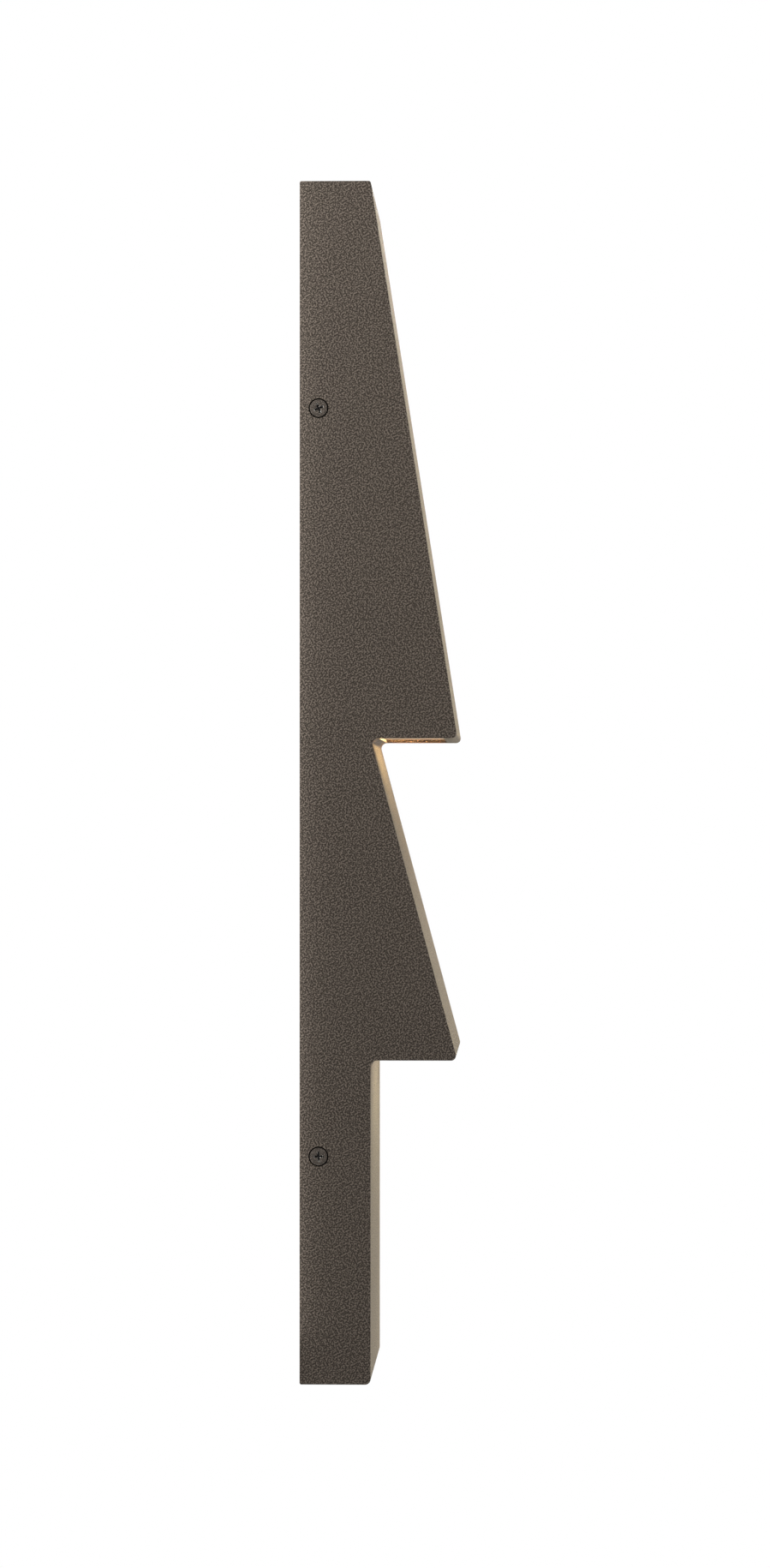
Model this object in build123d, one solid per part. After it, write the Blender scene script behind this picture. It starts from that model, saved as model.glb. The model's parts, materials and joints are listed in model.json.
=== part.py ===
from build123d import *
import math
import os

# Axes: X runs across the lamp, Y points into the wall, Z points up.
# The wall is the plane Y = 0 and p is the distance out from it, so p = -Y.

# Cast housing
HEIGHT = 610.0
WIDTH = 152.0
BASE_DEPTH = 36.0
TIP_DEPTH = 80.0
FOOT_HEIGHT = 164.0
LOWER_TIER_HEIGHT = 163.3
WALL = 3.0
FOOT_CORNER_R = 2.8
TIP_R = 2.5
STEP_CORNER_R = 3.0
TOP_FRONT_R = 1.3
RIM_CORNER_R = 0.9
INNER_R = 1.0
SIDE_ROUND = 0.4

# Light slot in the underside of each tier
SLOT_INNER_BORDER = 4.0
SLOT_LIP = 7.5
SLOT_END_BORDER = 12.0
SLOT_CORNER_R = 3.0
SLOT_EDGE_ROUND = 0.5

# Side screws, their sunk holes and the nuts pressed into the bracket tabs
SIDE_SCREW_PITCH = 379.3
SIDE_SCREW_P = 9.6
SIDE_SCREW_R = 2.5
SIDE_SCREW_LENGTH = 16.0
SIDE_HEAD_R = 4.6
SIDE_HEAD_RIM = 0.6
SIDE_HEAD_EDGE = 0.25
SIDE_CROSS_SPAN = 4.8
SIDE_CROSS_WIDTH = 1.05
SIDE_CROSS_DEPTH = 1.6
HEAD_SINK = 0.1
RECESS_RING = 0.5
RING_DEPTH = 1.5
HOLE_CLEARANCE = 0.25
THREAD_CLEARANCE = 0.05
CLINCH_R = 4.75
CLINCH_HEIGHT = 4.0
CLINCH_SHANK_R = 3.75

# Wall bracket
BRACKET_T = 2.0
BRACKET_HEIGHT = 410.0
BRACKET_CORNER_R = 6.0
TAB_LENGTH = 30.0
TAB_REACH = 18.0
TAB_CORNER_R = 4.0
TAB_GAP = 0.3
BEND_R = 1.5
BOX_SCREW_PITCH = 88.9
BOX_SLOT_LENGTH = 12.0
BOX_SLOT_WIDTH = 5.0
ANCHOR_R = 2.75
ANCHOR_INSET = 25.0
RIB_LENGTH = 90.0
RIB_WIDTH = 9.0
RIB_RISE = 1.4
RIB_SIDE_INSET = 30.0
RIB_END_INSET = 20.0

# Foam seal inside the rim of the housing
SEAL_WIDTH = 6.0
SEAL_DEPTH = 5.0
SEAL_END_GAP = 1.0
SEAL_BRACKET_GAP = 2.0

# Supply entry
BUSHING_BORE_R = 8.5
BUSHING_WALL = 2.0
BUSHING_FLANGE_R = 13.5
BUSHING_FLANGE_T = 2.5

# Lens, gasket, reflector and light board of each tier
GASKET_T = 1.0
LENS_T = 3.0
LENS_OVERLAP = 2.0
LENS_RECESS = 1.8
LENS_FIT = 0.4
REFLECTOR_HEIGHT = 12.0
REFLECTOR_WALL = 1.2
REFLECTOR_INSET = 0.5
REFLECTOR_TOP_INSET = 3.0
BOARD_WIDTH = 18.0
BOARD_T = 1.6
BOARD_END_GAP = 12.0
BOARD_TAIL = 6.5
LED_COUNT = 11
LED_END_GAP = 7.0
LED_LENGTH = 3.0
LED_WIDTH = 2.8
LED_HEIGHT = 0.7
BOARD_SCREW_INSET = 7.0

# Bent aluminium bracket that carries each light board
SHELF_T = 2.0
SHELF_OVERHANG = 3.0
FLANGE_HEIGHT = 18.0
FLANGE_FRONT_GAP = 3.0
FLANGE_SCREW_INSET = 19.0
BOSS_R = 4.0
BOSS_DRAFT = 0.8
BOSS_HOLE_DEPTH = 4.5
BOSS_ROOT = 1.5

# Small pan head screws, thread size 3
SMALL_SCREW_R = 1.5
SMALL_HEAD_R = 2.8
SMALL_HEAD_H = 1.9
SMALL_SCREW_LENGTH = 6.0
BOARD_SCREW_LENGTH = 5.0

# Board connectors and leads
CONNECTOR_LENGTH = 6.0
CONNECTOR_WIDTH = 10.0
CONNECTOR_HEIGHT = 5.0
CONNECTOR_EDGE = 0.5
LEAD_R = 0.9
LEAD_SIDES = 8
LEAD_GAP = 3.0
LEAD_BEND = 12.0
LEAD_CLEARANCE = 0.1
LEAD_EXIT_RISE = 11.0
UPPER_LEAD_P = 21.0
LOWER_LEAD_P = 26.0

# Wire clips stuck to the inside of the housing's sides
CLIP_LENGTH = 8.0
CLIP_RIM = 1.4
CLIP_BASE_T = 1.2
CLIP_BASE_MARGIN = 3.0
CLIP_EDGE = 0.6
LOW_CLIP_RISE = 56.0
HIGH_CLIP_RISE = 126.0
LEFT_CLIP_DROP = 14.0

# Driver in the foot of the housing
DRIVER_END_SPACE = 27.0
DRIVER_HEIGHT = 42.0
DRIVER_T = 22.0
DRIVER_WALL = 2.0
DRIVER_CORNER_R = 2.0
DRIVER_STANDOFF = 3.0
DRIVER_RISE = 65.0
POTTING_RECESS = 1.2
EAR_REACH = 7.0
EAR_WIDTH = 16.0
EAR_T = 1.8
EAR_SCREW_INSET = 3.2

# Terminal block, earth screw and lug on the bracket
BLOCK_SIDE_GAP = 14.0
BLOCK_Z = -62.0
BLOCK_WIDTH = 32.0
BLOCK_HEIGHT = 18.0
BLOCK_DEPTH = 13.0
BLOCK_POLE_PITCH = 10.0
BLOCK_EDGE = 1.0
ENTRY_R = 1.7
ENTRY_DEPTH = 5.0
ENTRY_P = 5.5
CLAMP_R = 1.9
CLAMP_WELL = 3.0
CLAMP_HEIGHT = 1.6
CLAMP_ROW = 4.6
EARTH_X = 10.0
EARTH_Z = -102.0
EARTH_SCREW_R = 2.0
EARTH_HEAD_R = 4.0
EARTH_HEAD_H = 2.8
LUG_R = 4.4
LUG_T = 0.8
LUG_BARREL_R = 1.8
LUG_BARREL_LENGTH = 6.0

# Levels and positions that follow from the sizes above
Z_BOTTOM = -HEIGHT / 2
Z_TOP = HEIGHT / 2
Z_LOWER_STEP = Z_BOTTOM + FOOT_HEIGHT
Z_UPPER_STEP = Z_LOWER_STEP + LOWER_TIER_HEIGHT
UPPER_TIER_HEIGHT = Z_TOP - Z_UPPER_STEP
HALF_WIDTH = WIDTH / 2
INNER_HALF = HALF_WIDTH - WALL
SLOT_HALF = HALF_WIDTH - SLOT_END_BORDER
SLOT_P0 = BASE_DEPTH + SLOT_INNER_BORDER
SLOT_P1 = TIP_DEPTH - SLOT_LIP
SIDE_HOLE_R = SIDE_HEAD_R + RECESS_RING
TAB_X1 = INNER_HALF - TAB_GAP
TAB_X0 = TAB_X1 - BRACKET_T
BRACKET_HALF = INNER_HALF - SEAL_WIDTH - SEAL_BRACKET_GAP
BUSHING_R = BUSHING_BORE_R + BUSHING_WALL
BOARD_HALF = HALF_WIDTH - BOARD_END_GAP
REFLECTOR_TOP_HALF = BOARD_HALF - REFLECTOR_TOP_INSET
BOARD_SCREW_X = BOARD_HALF - BOARD_SCREW_INSET
FLANGE_SCREW_X = BOARD_HALF - FLANGE_SCREW_INSET
LED_PITCH = 2 * (BOARD_SCREW_X - LED_END_GAP) / (LED_COUNT - 1)
BLOCK_X = -BRACKET_HALF + BLOCK_SIDE_GAP + BLOCK_WIDTH / 2
DRIVER_LENGTH = WIDTH - 2 * DRIVER_END_SPACE
DRIVER_Z = Z_BOTTOM + DRIVER_RISE
DRIVER_P1 = BASE_DEPTH - WALL - DRIVER_STANDOFF
DRIVER_P0 = DRIVER_P1 - DRIVER_T
EAR_SCREW_X = DRIVER_LENGTH / 2 + EAR_REACH - EAR_SCREW_INSET
LEAD_EXIT_Z = DRIVER_Z + LEAD_EXIT_RISE + LEAD_GAP / 2
RIGHT_CLIP_LEVELS = (Z_LOWER_STEP + LOW_CLIP_RISE, Z_LOWER_STEP + HIGH_CLIP_RISE)
LEFT_CLIP_LEVELS = (Z_LOWER_STEP - LEFT_CLIP_DROP,)

# Heights above the outside of a tier's underside
GASKET_H = WALL
LENS_H = GASKET_H + GASKET_T
REFLECTOR_H = LENS_H + LENS_T
BOARD_H = REFLECTOR_H + REFLECTOR_HEIGHT
SHELF_H = BOARD_H + BOARD_T
FLANGE_TOP_H = SHELF_H + FLANGE_HEIGHT
FLANGE_SCREW_H = SHELF_H + SHELF_T + BEND_R + SMALL_HEAD_R + FLANGE_HEIGHT / 4
CONNECTOR_H = BOARD_H - CONNECTOR_HEIGHT
CONNECTOR_X1 = BOARD_HALF + BOARD_TAIL
CONNECTOR_X0 = CONNECTOR_X1 - CONNECTOR_LENGTH
LEAD_X0 = (CONNECTOR_X0 + CONNECTOR_X1 - LEAD_GAP) / 2


def block(x0, x1, p0, p1, z0, z1):
    """Plain box between two corners."""
    box = Box(x1 - x0, p1 - p0, z1 - z0)
    return Pos((x0 + x1) / 2, -(p0 + p1) / 2, (z0 + z1) / 2) * box


def pad(x0, x1, p0, p1, z0, z1, radius):
    """Flat slab with rounded upright corners."""
    sheet = Pos((x0 + x1) / 2, -(p0 + p1) / 2, z0) * RectangleRounded(x1 - x0, p1 - p0, radius)
    return extrude(sheet, amount=z1 - z0, dir=(0, 0, 1))


def wall_plate(x0, x1, z0, z1, p0, p1, radius):
    """Slab parallel to the wall with rounded corners."""
    middle = Pos((x0 + x1) / 2, (z0 + z1) / 2)
    sheet = Plane.XZ.offset(p0) * middle * RectangleRounded(x1 - x0, z1 - z0, radius)
    return extrude(sheet, amount=p1 - p0, dir=(0, -1, 0))


def rod_x(radius, x0, x1, p, z):
    """Round bar across the lamp."""
    return Pos((x0 + x1) / 2, -p, z) * Rot(0, 90, 0) * Cylinder(radius, abs(x1 - x0))


def rod_p(radius, p0, p1, x, z):
    """Round bar square to the wall."""
    return Pos(x, -(p0 + p1) / 2, z) * Rot(90, 0, 0) * Cylinder(radius, p1 - p0)


def rod_z(radius, z0, z1, x, p):
    """Round upright bar."""
    return Pos(x, -p, (z0 + z1) / 2) * Cylinder(radius, z1 - z0)


def turned(outline):
    """Solid of revolution about Z from (radius, height) points."""
    face = make_face(Polyline([(r, 0, z) for r, z in outline], close=True))
    return revolve(face, axis=Axis.Z)


def side_face(points):
    """Face in the side view from (p, z) points."""
    return make_face(Polyline([(0, -p, z) for p, z in points], close=True))


def round_corner(face, corner, radius):
    """Round the one corner of a side-view face that lies at (p, z)."""
    spot = Vector(0, -corner[0], corner[1])
    vertex = min(face.vertices(), key=lambda v: (Vector(*tuple(v)) - spot).length)
    return fillet(vertex, radius)


def inset_polygon(points, offsets):
    """Move each edge of a polygon inward by its own amount and find the new corners."""
    count = len(points)
    area = sum(points[i][0] * points[(i + 1) % count][1] - points[(i + 1) % count][0] * points[i][1]
               for i in range(count))
    turn = 1 if area > 0 else -1
    lines = []
    for i in range(count):
        (p0, z0), (p1, z1) = points[i], points[(i + 1) % count]
        length = math.hypot(p1 - p0, z1 - z0)
        step = ((p1 - p0) / length, (z1 - z0) / length)
        shift = (-turn * step[1] * offsets[i], turn * step[0] * offsets[i])
        lines.append(((p0 + shift[0], z0 + shift[1]), step))
    corners = []
    for i in range(count):
        (a, u), (b, v) = lines[i - 1], lines[i]
        cross = u[0] * v[1] - u[1] * v[0]
        t = ((b[0] - a[0]) * v[1] - (b[1] - a[1]) * v[0]) / cross
        corners.append((a[0] + t * u[0], a[1] + t * u[1]))
    return corners


def cross_recess(span, width, depth):
    """Cross-shaped driver recess that opens upward at height zero."""
    return Box(span, width, 2 * depth) + Box(width, span, 2 * depth)


def sunk_screw():
    """Countersunk screw along -Z with the top of its head at height zero."""
    cone_h = SIDE_HEAD_R - SIDE_SCREW_R
    neck = -SIDE_HEAD_RIM - cone_h
    tip = -SIDE_SCREW_LENGTH
    outline = [
        (0, 0),
        (SIDE_HEAD_R - SIDE_HEAD_EDGE, 0),
        (SIDE_HEAD_R, -SIDE_HEAD_EDGE),
        (SIDE_HEAD_R, -SIDE_HEAD_RIM),
        (SIDE_SCREW_R, neck),
        (SIDE_SCREW_R, tip + SIDE_SCREW_R / 3),
        (SIDE_SCREW_R * 2 / 3, tip),
        (0, tip),
    ]
    return turned(outline) - cross_recess(SIDE_CROSS_SPAN, SIDE_CROSS_WIDTH, SIDE_CROSS_DEPTH)


def pan_screw(length):
    """Pan head screw along -Z with the underside of its head at height zero."""
    crown = SMALL_HEAD_H / 2
    outline = [
        (0, SMALL_HEAD_H),
        (SMALL_HEAD_R - crown, SMALL_HEAD_H),
        (SMALL_HEAD_R, SMALL_HEAD_H - crown),
        (SMALL_HEAD_R, 0),
        (SMALL_SCREW_R, 0),
        (SMALL_SCREW_R, -length),
        (0, -length),
    ]
    return turned(outline)


def lead(points, bend):
    """Insulated wire along straight runs and round bends through (x, p, z) points."""
    path = FilletPolyline(*[(x, -p, z) for x, p, z in points], radius=bend)
    ring = Plane(origin=path @ 0, z_dir=path % 0) * RegularPolygon(LEAD_R, LEAD_SIDES)
    return sweep(ring, path=path)


def tier_slope(height):
    """How far a tier's front face leans out per millimetre of drop."""
    return (TIP_DEPTH - BASE_DEPTH) / height


def front_inside(height, rise):
    """Depth of the inside of a tier's front wall at a rise above its underside."""
    slope = tier_slope(height)
    return TIP_DEPTH - WALL * math.hypot(1, slope) - slope * rise


def flange_face(height):
    """Front face of the light bracket's upright flange in a tier."""
    return front_inside(height, FLANGE_TOP_H) - FLANGE_FRONT_GAP


def board_centre(height):
    """Depth of the middle of a tier's light board."""
    room = flange_face(height) - SHELF_T - BEND_R - BOARD_WIDTH / 2
    return min((SLOT_P0 + SLOT_P1) / 2, room)


TIERS = {
    "upper": (Z_UPPER_STEP, UPPER_TIER_HEIGHT, UPPER_LEAD_P),
    "lower": (Z_LOWER_STEP, LOWER_TIER_HEIGHT, LOWER_LEAD_P),
}
SIDES = (-1, 1)
SCREW_LEVELS = (-SIDE_SCREW_PITCH / 2, SIDE_SCREW_PITCH / 2)


def make_housing():
    """Cast shell: folded front, closed ends and sides, open towards the wall."""
    corners = [
        (0, Z_BOTTOM),
        (BASE_DEPTH, Z_BOTTOM),
        (BASE_DEPTH, Z_LOWER_STEP),
        (TIP_DEPTH, Z_LOWER_STEP),
        (BASE_DEPTH, Z_UPPER_STEP),
        (TIP_DEPTH, Z_UPPER_STEP),
        (BASE_DEPTH, Z_TOP),
        (0, Z_TOP),
    ]
    outer_radii = [RIM_CORNER_R, FOOT_CORNER_R, STEP_CORNER_R, TIP_R,
                   STEP_CORNER_R, TIP_R, TOP_FRONT_R, RIM_CORNER_R]
    outer = side_face(corners)
    for corner, radius in zip(corners, outer_radii):
        outer = round_corner(outer, corner, radius)
    body = extrude(outer, amount=HALF_WIDTH, dir=(1, 0, 0), both=True)
    rims = [e for e in body.edges() if abs(abs(e.center().X) - HALF_WIDTH) < 1e-4]
    body = fillet(rims, SIDE_ROUND)

    hollow_corners = inset_polygon(corners, [WALL] * 7 + [-WALL])
    hollow = side_face(hollow_corners)
    step_inner_r = STEP_CORNER_R + WALL
    inner_radii = {1: INNER_R, 2: step_inner_r, 3: INNER_R, 4: step_inner_r, 5: INNER_R, 6: INNER_R}
    for index, radius in inner_radii.items():
        hollow = round_corner(hollow, hollow_corners[index], radius)
    body -= extrude(hollow, amount=INNER_HALF, dir=(1, 0, 0), both=True)

    for step, height, _ in TIERS.values():
        body -= pad(-SLOT_HALF, SLOT_HALF, SLOT_P0, SLOT_P1, step - WALL, step + 2 * WALL, SLOT_CORNER_R)
        lips = [e for e in body.edges()
                if abs(e.center().Z - step) < 1e-4 and abs(e.center().X) < SLOT_HALF + 0.1
                and SLOT_P0 - 0.1 < -e.center().Y < SLOT_P1 + 0.1]
        body = fillet(lips, SLOT_EDGE_ROUND)
        body = add_bosses(body, step + FLANGE_SCREW_H, FLANGE_SCREW_X, flange_face(height),
                          front_inside(height, FLANGE_SCREW_H))
    body = add_bosses(body, DRIVER_Z, EAR_SCREW_X, DRIVER_P1, BASE_DEPTH - WALL)

    cone_h = SIDE_HEAD_R - SIDE_SCREW_R
    seat = HEAD_SINK + SIDE_HEAD_RIM
    hole_r = SIDE_SCREW_R + HOLE_CLEARANCE
    sunk_hole = turned([
        (0, 1),
        (SIDE_HOLE_R, 1),
        (SIDE_HOLE_R, -RING_DEPTH),
        (SIDE_HEAD_R + THREAD_CLEARANCE + seat - RING_DEPTH, -RING_DEPTH),
        (hole_r, -seat - cone_h + HOLE_CLEARANCE - THREAD_CLEARANCE),
        (hole_r, -2 * WALL),
        (0, -2 * WALL),
    ])
    for side in SIDES:
        for level in SCREW_LEVELS:
            body -= Pos(side * HALF_WIDTH, -SIDE_SCREW_P, level) * Rot(0, side * 90, 0) * sunk_hole
    return body


def add_bosses(body, z, x, tip, root):
    """Two drafted screw bosses on the inside of the front wall, with blind holes."""
    length = root + BOSS_ROOT - tip
    for side in SIDES:
        middle = Pos(side * x, -(tip + length / 2), z)
        body += middle * Rot(90, 0, 0) * Cone(BOSS_R, BOSS_R + BOSS_DRAFT, length)
        body -= rod_p(SMALL_SCREW_R + THREAD_CLEARANCE, tip - 1, tip + BOSS_HOLE_DEPTH, side * x, z)
    return body


def make_side_screws():
    """Four countersunk screws, each left at its own driver angle."""
    angles = {(-1, 1): 20, (-1, -1): 3, (1, 1): 38, (1, -1): 64}
    screws = []
    for (side, end), angle in angles.items():
        place = Pos(side * (HALF_WIDTH - HEAD_SINK), -SIDE_SCREW_P, end * SIDE_SCREW_PITCH / 2)
        screws.append(place * Rot(0, side * 90, 0) * Rot(0, 0, angle) * sunk_screw())
    return screws


def make_clinch_nuts():
    """Round nuts pressed into the bracket tabs from inside."""
    nuts = []
    for side in SIDES:
        for level in SCREW_LEVELS:
            nut = rod_x(CLINCH_R, TAB_X0 - CLINCH_HEIGHT, TAB_X0, SIDE_SCREW_P, level)
            nut = chamfer(nut.edges().filter_by(GeomType.CIRCLE).sort_by(Axis.X)[0], 0.5)
            nut += rod_x(CLINCH_SHANK_R, TAB_X0, TAB_X1, SIDE_SCREW_P, level)
            nut -= rod_x(SIDE_SCREW_R + THREAD_CLEARANCE, 0, HALF_WIDTH, SIDE_SCREW_P, level)
            nuts.append(nut if side > 0 else mirror(nut, about=Plane.YZ))
    return nuts


def pressed_rib(x, z, p):
    """Low straight rib with sloped sides and ends that rises from depth p."""
    foot = Plane.XZ.offset(p) * Pos(x, z) * Rectangle(RIB_WIDTH, RIB_LENGTH)
    top = Rectangle(RIB_WIDTH - 2 * RIB_RISE, RIB_LENGTH - 2 * RIB_RISE)
    crest = Plane.XZ.offset(p + RIB_RISE) * Pos(x, z) * top
    return loft([foot, crest], ruled=True)


def make_wall_bracket():
    """Flat steel plate with four bent tabs, pressed ribs, screw slots, anchor holes and supply hole."""
    half_height = BRACKET_HEIGHT / 2
    plate = wall_plate(-BRACKET_HALF, BRACKET_HALF, -half_height, half_height, 0, BRACKET_T, BRACKET_CORNER_R)
    outline = [
        (BRACKET_HALF - BRACKET_T, 0),
        (TAB_X1, 0),
        (TAB_X1, TAB_REACH),
        (TAB_X0, TAB_REACH),
        (TAB_X0, BRACKET_T),
        (BRACKET_HALF - BRACKET_T, BRACKET_T),
    ]
    ell = make_face(Polyline([(x, -p, 0) for x, p in outline], close=True))
    for index, radius in ((1, BEND_R + BRACKET_T), (4, BEND_R)):
        spot = Vector(outline[index][0], -outline[index][1], 0)
        corner = min(ell.vertices(), key=lambda v: (Vector(*tuple(v)) - spot).length)
        ell = fillet(corner, radius)
    tab = extrude(ell, amount=TAB_LENGTH / 2, dir=(0, 0, 1), both=True)
    ends = [e for e in tab.edges().filter_by(Axis.X) if abs(e.center().Y + TAB_REACH) < 1e-4]
    ends = [e for e in ends if abs(abs(e.center().Z) - TAB_LENGTH / 2) < 1e-4]
    tab = fillet(ends, TAB_CORNER_R)
    tab -= rod_x(CLINCH_SHANK_R, TAB_X0 - 1, TAB_X1 + 1, SIDE_SCREW_P, 0)
    for level in SCREW_LEVELS:
        right = Pos(0, 0, level) * tab
        plate += right
        plate += mirror(right, about=Plane.YZ)
    for side in SIDES:
        oval = Pos(side * BOX_SCREW_PITCH / 2, 0) * SlotOverall(BOX_SLOT_LENGTH, BOX_SLOT_WIDTH)
        slot = Plane.XZ.offset(-1) * oval
        plate -= extrude(slot, amount=BRACKET_T + 2, dir=(0, -1, 0))
    for end in (-1, 1):
        plate -= rod_p(ANCHOR_R, -1, BRACKET_T + 1, 0, end * (half_height - ANCHOR_INSET))
        for side in SIDES:
            x = side * (BRACKET_HALF - RIB_SIDE_INSET)
            z = end * (half_height - RIB_END_INSET - RIB_LENGTH / 2)
            plate += pressed_rib(x, z, BRACKET_T)
            plate -= pressed_rib(x, z, 0)
    plate -= rod_p(BUSHING_R, -1, BRACKET_T + 1, 0, 0)
    plate -= rod_p(EARTH_SCREW_R + THREAD_CLEARANCE, -1, BRACKET_T + 1, EARTH_X, EARTH_Z)
    for side in SIDES:
        x = BLOCK_X + side * BLOCK_POLE_PITCH / 2
        plate -= rod_p(SMALL_SCREW_R + THREAD_CLEARANCE, -1, BRACKET_T + 1, x, BLOCK_Z)
    return plate


def make_rim_seal():
    """Foam strips stuck inside the rim, butted at the corners and broken where the bracket tabs stand."""
    z0, z1 = Z_BOTTOM + WALL, Z_TOP - WALL
    half_gap = TAB_LENGTH / 2 + SEAL_END_GAP
    stops = [z0 + SEAL_WIDTH]
    for level in SCREW_LEVELS:
        stops += [level - half_gap, level + half_gap]
    stops.append(z1 - SEAL_WIDTH)
    strips = [block(-INNER_HALF, INNER_HALF, 0, SEAL_DEPTH, low, low + SEAL_WIDTH)
              for low in (z0, z1 - SEAL_WIDTH)]
    for low, high in zip(stops[0::2], stops[1::2]):
        right = block(INNER_HALF - SEAL_WIDTH, INNER_HALF, 0, SEAL_DEPTH, low, high)
        strips += [right, mirror(right, about=Plane.YZ)]
    return strips


def make_supply_bushing():
    """Smooth plastic bushing in the supply hole, its flange on the inner side."""
    length = BRACKET_T + BUSHING_FLANGE_T
    bushing = rod_p(BUSHING_R, 0, length, 0, 0) + rod_p(BUSHING_FLANGE_R, BRACKET_T, length, 0, 0)
    rim = [e for e in bushing.edges().filter_by(GeomType.CIRCLE) if abs(e.center().Y + length) < 1e-4]
    bushing = chamfer(rim, BUSHING_FLANGE_T * 0.4)
    return bushing - rod_p(BUSHING_BORE_R, -1, length + 1, 0, 0)


def make_terminal_block():
    """Three-way terminal block with wire entries above and below and screw wells in front."""
    x0, x1 = BLOCK_X - BLOCK_WIDTH / 2, BLOCK_X + BLOCK_WIDTH / 2
    z0, z1 = BLOCK_Z - BLOCK_HEIGHT / 2, BLOCK_Z + BLOCK_HEIGHT / 2
    p0, p1 = BRACKET_T, BRACKET_T + BLOCK_DEPTH
    body = block(x0, x1, p0, p1, z0, z1)
    body = chamfer([e for e in body.edges() if e.center().Y < -p1 + 0.1], BLOCK_EDGE)
    for pole in (-1, 0, 1):
        x = BLOCK_X + pole * BLOCK_POLE_PITCH
        body -= rod_z(ENTRY_R, z0 - 1, z0 + ENTRY_DEPTH, x, p0 + ENTRY_P)
        body -= rod_z(ENTRY_R, z1 - ENTRY_DEPTH, z1 + 1, x, p0 + ENTRY_P)
        for side in SIDES:
            body -= rod_p(CLAMP_R + LEAD_CLEARANCE, p1 - CLAMP_WELL, p1 + 1, x, BLOCK_Z + side * CLAMP_ROW)
    for side in SIDES:
        x = BLOCK_X + side * BLOCK_POLE_PITCH / 2
        body -= rod_p(SMALL_SCREW_R + HOLE_CLEARANCE, p0 - 1, p1 + 1, x, BLOCK_Z)
        body -= rod_p(SMALL_HEAD_R + HOLE_CLEARANCE, p0 + BLOCK_DEPTH / 3, p1 + 1, x, BLOCK_Z)
    return body


def make_terminal_screws():
    """Six slotted clamp screws in the wells of the terminal block."""
    floor = BRACKET_T + BLOCK_DEPTH - CLAMP_WELL
    screws = []
    for pole in (-1, 0, 1):
        for side in SIDES:
            x, z = BLOCK_X + pole * BLOCK_POLE_PITCH, BLOCK_Z + side * CLAMP_ROW
            screw = rod_p(CLAMP_R, floor, floor + CLAMP_HEIGHT, x, z)
            slot = block(x - CLAMP_R, x + CLAMP_R, floor + CLAMP_HEIGHT - 0.8, floor + CLAMP_HEIGHT + 1,
                         z - 0.3, z + 0.3)
            screws.append(screw - slot)
    return screws


def make_terminal_fixings():
    """Two pan head screws that hold the terminal block on the bracket."""
    seat = BRACKET_T + BLOCK_DEPTH / 3
    return [Pos(BLOCK_X + side * BLOCK_POLE_PITCH / 2, -seat, BLOCK_Z) * Rot(90, 0, 0) * pan_screw(seat)
            for side in SIDES]


def make_earth_screw():
    """Hexagon head earth screw through the lug into the bracket."""
    seat = BRACKET_T + LUG_T
    head = extrude(RegularPolygon(EARTH_HEAD_R, 6), amount=EARTH_HEAD_H)
    head = chamfer(head.edges().sort_by(Axis.Z)[-6:], 0.4)
    head -= Pos(0, 0, EARTH_HEAD_H) * Box(2 * EARTH_HEAD_R + 1, 0.9, 1.6)
    head += Pos(0, 0, -seat / 2) * Cylinder(EARTH_SCREW_R, seat)
    return Pos(EARTH_X, -seat, EARTH_Z) * Rot(90, 0, 0) * head


def make_earth_lug():
    """Ring lug under the earth screw with a crimp barrel that points up."""
    lug = rod_p(LUG_R, BRACKET_T, BRACKET_T + LUG_T, EARTH_X, EARTH_Z)
    barrel_z = EARTH_Z + LUG_R + 1
    barrel_p = BRACKET_T + LUG_BARREL_R
    lug += block(EARTH_X - LUG_BARREL_R, EARTH_X + LUG_BARREL_R, BRACKET_T, BRACKET_T + LUG_T,
                 EARTH_Z, barrel_z + LUG_BARREL_LENGTH)
    lug += rod_z(LUG_BARREL_R, barrel_z, barrel_z + LUG_BARREL_LENGTH, EARTH_X, barrel_p)
    lug -= rod_z(LEAD_R + LEAD_CLEARANCE, barrel_z - 1, barrel_z + LUG_BARREL_LENGTH + 1, EARTH_X, barrel_p)
    return lug - rod_p(EARTH_SCREW_R + LEAD_CLEARANCE, 0, BRACKET_T + 1 + LUG_T, EARTH_X, EARTH_Z)


def make_earth_lead():
    """Short wire from the third pole of the terminal block to the earth lug."""
    x0 = BLOCK_X + BLOCK_POLE_PITCH
    top = BLOCK_Z - BLOCK_HEIGHT / 2 + ENTRY_DEPTH
    entry_p = BRACKET_T + ENTRY_P
    barrel_p = BRACKET_T + LUG_BARREL_R
    barrel_top = EARTH_Z + LUG_R + 1 + LUG_BARREL_LENGTH
    level = (BLOCK_Z - BLOCK_HEIGHT / 2 + barrel_top) / 2
    points = [
        (x0, entry_p, top),
        (x0, entry_p, level),
        (EARTH_X, barrel_p, level),
        (EARTH_X, barrel_p, EARTH_Z + LUG_R + 1),
    ]
    return lead(points, LEAD_BEND / 2)


def make_supply_lead(pole, offset):
    """Wire from a pole of the terminal block to the left end of the driver."""
    x0 = BLOCK_X + pole * BLOCK_POLE_PITCH
    bottom = BLOCK_Z - BLOCK_HEIGHT / 2
    entry_p = BRACKET_T + ENTRY_P
    run_x = -LEAD_X0 - offset
    run_p = UPPER_LEAD_P + LEAD_GAP
    cross_z = bottom - 3 * LEAD_BEND + offset
    end_z = LEAD_EXIT_Z - offset
    points = [
        (x0, entry_p, bottom + ENTRY_DEPTH),
        (x0, entry_p, cross_z),
        (run_x, run_p, cross_z),
        (run_x, run_p, end_z),
        (-DRIVER_LENGTH / 2 + DRIVER_WALL, run_p, end_z),
    ]
    return lead(points, LEAD_BEND)


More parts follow.
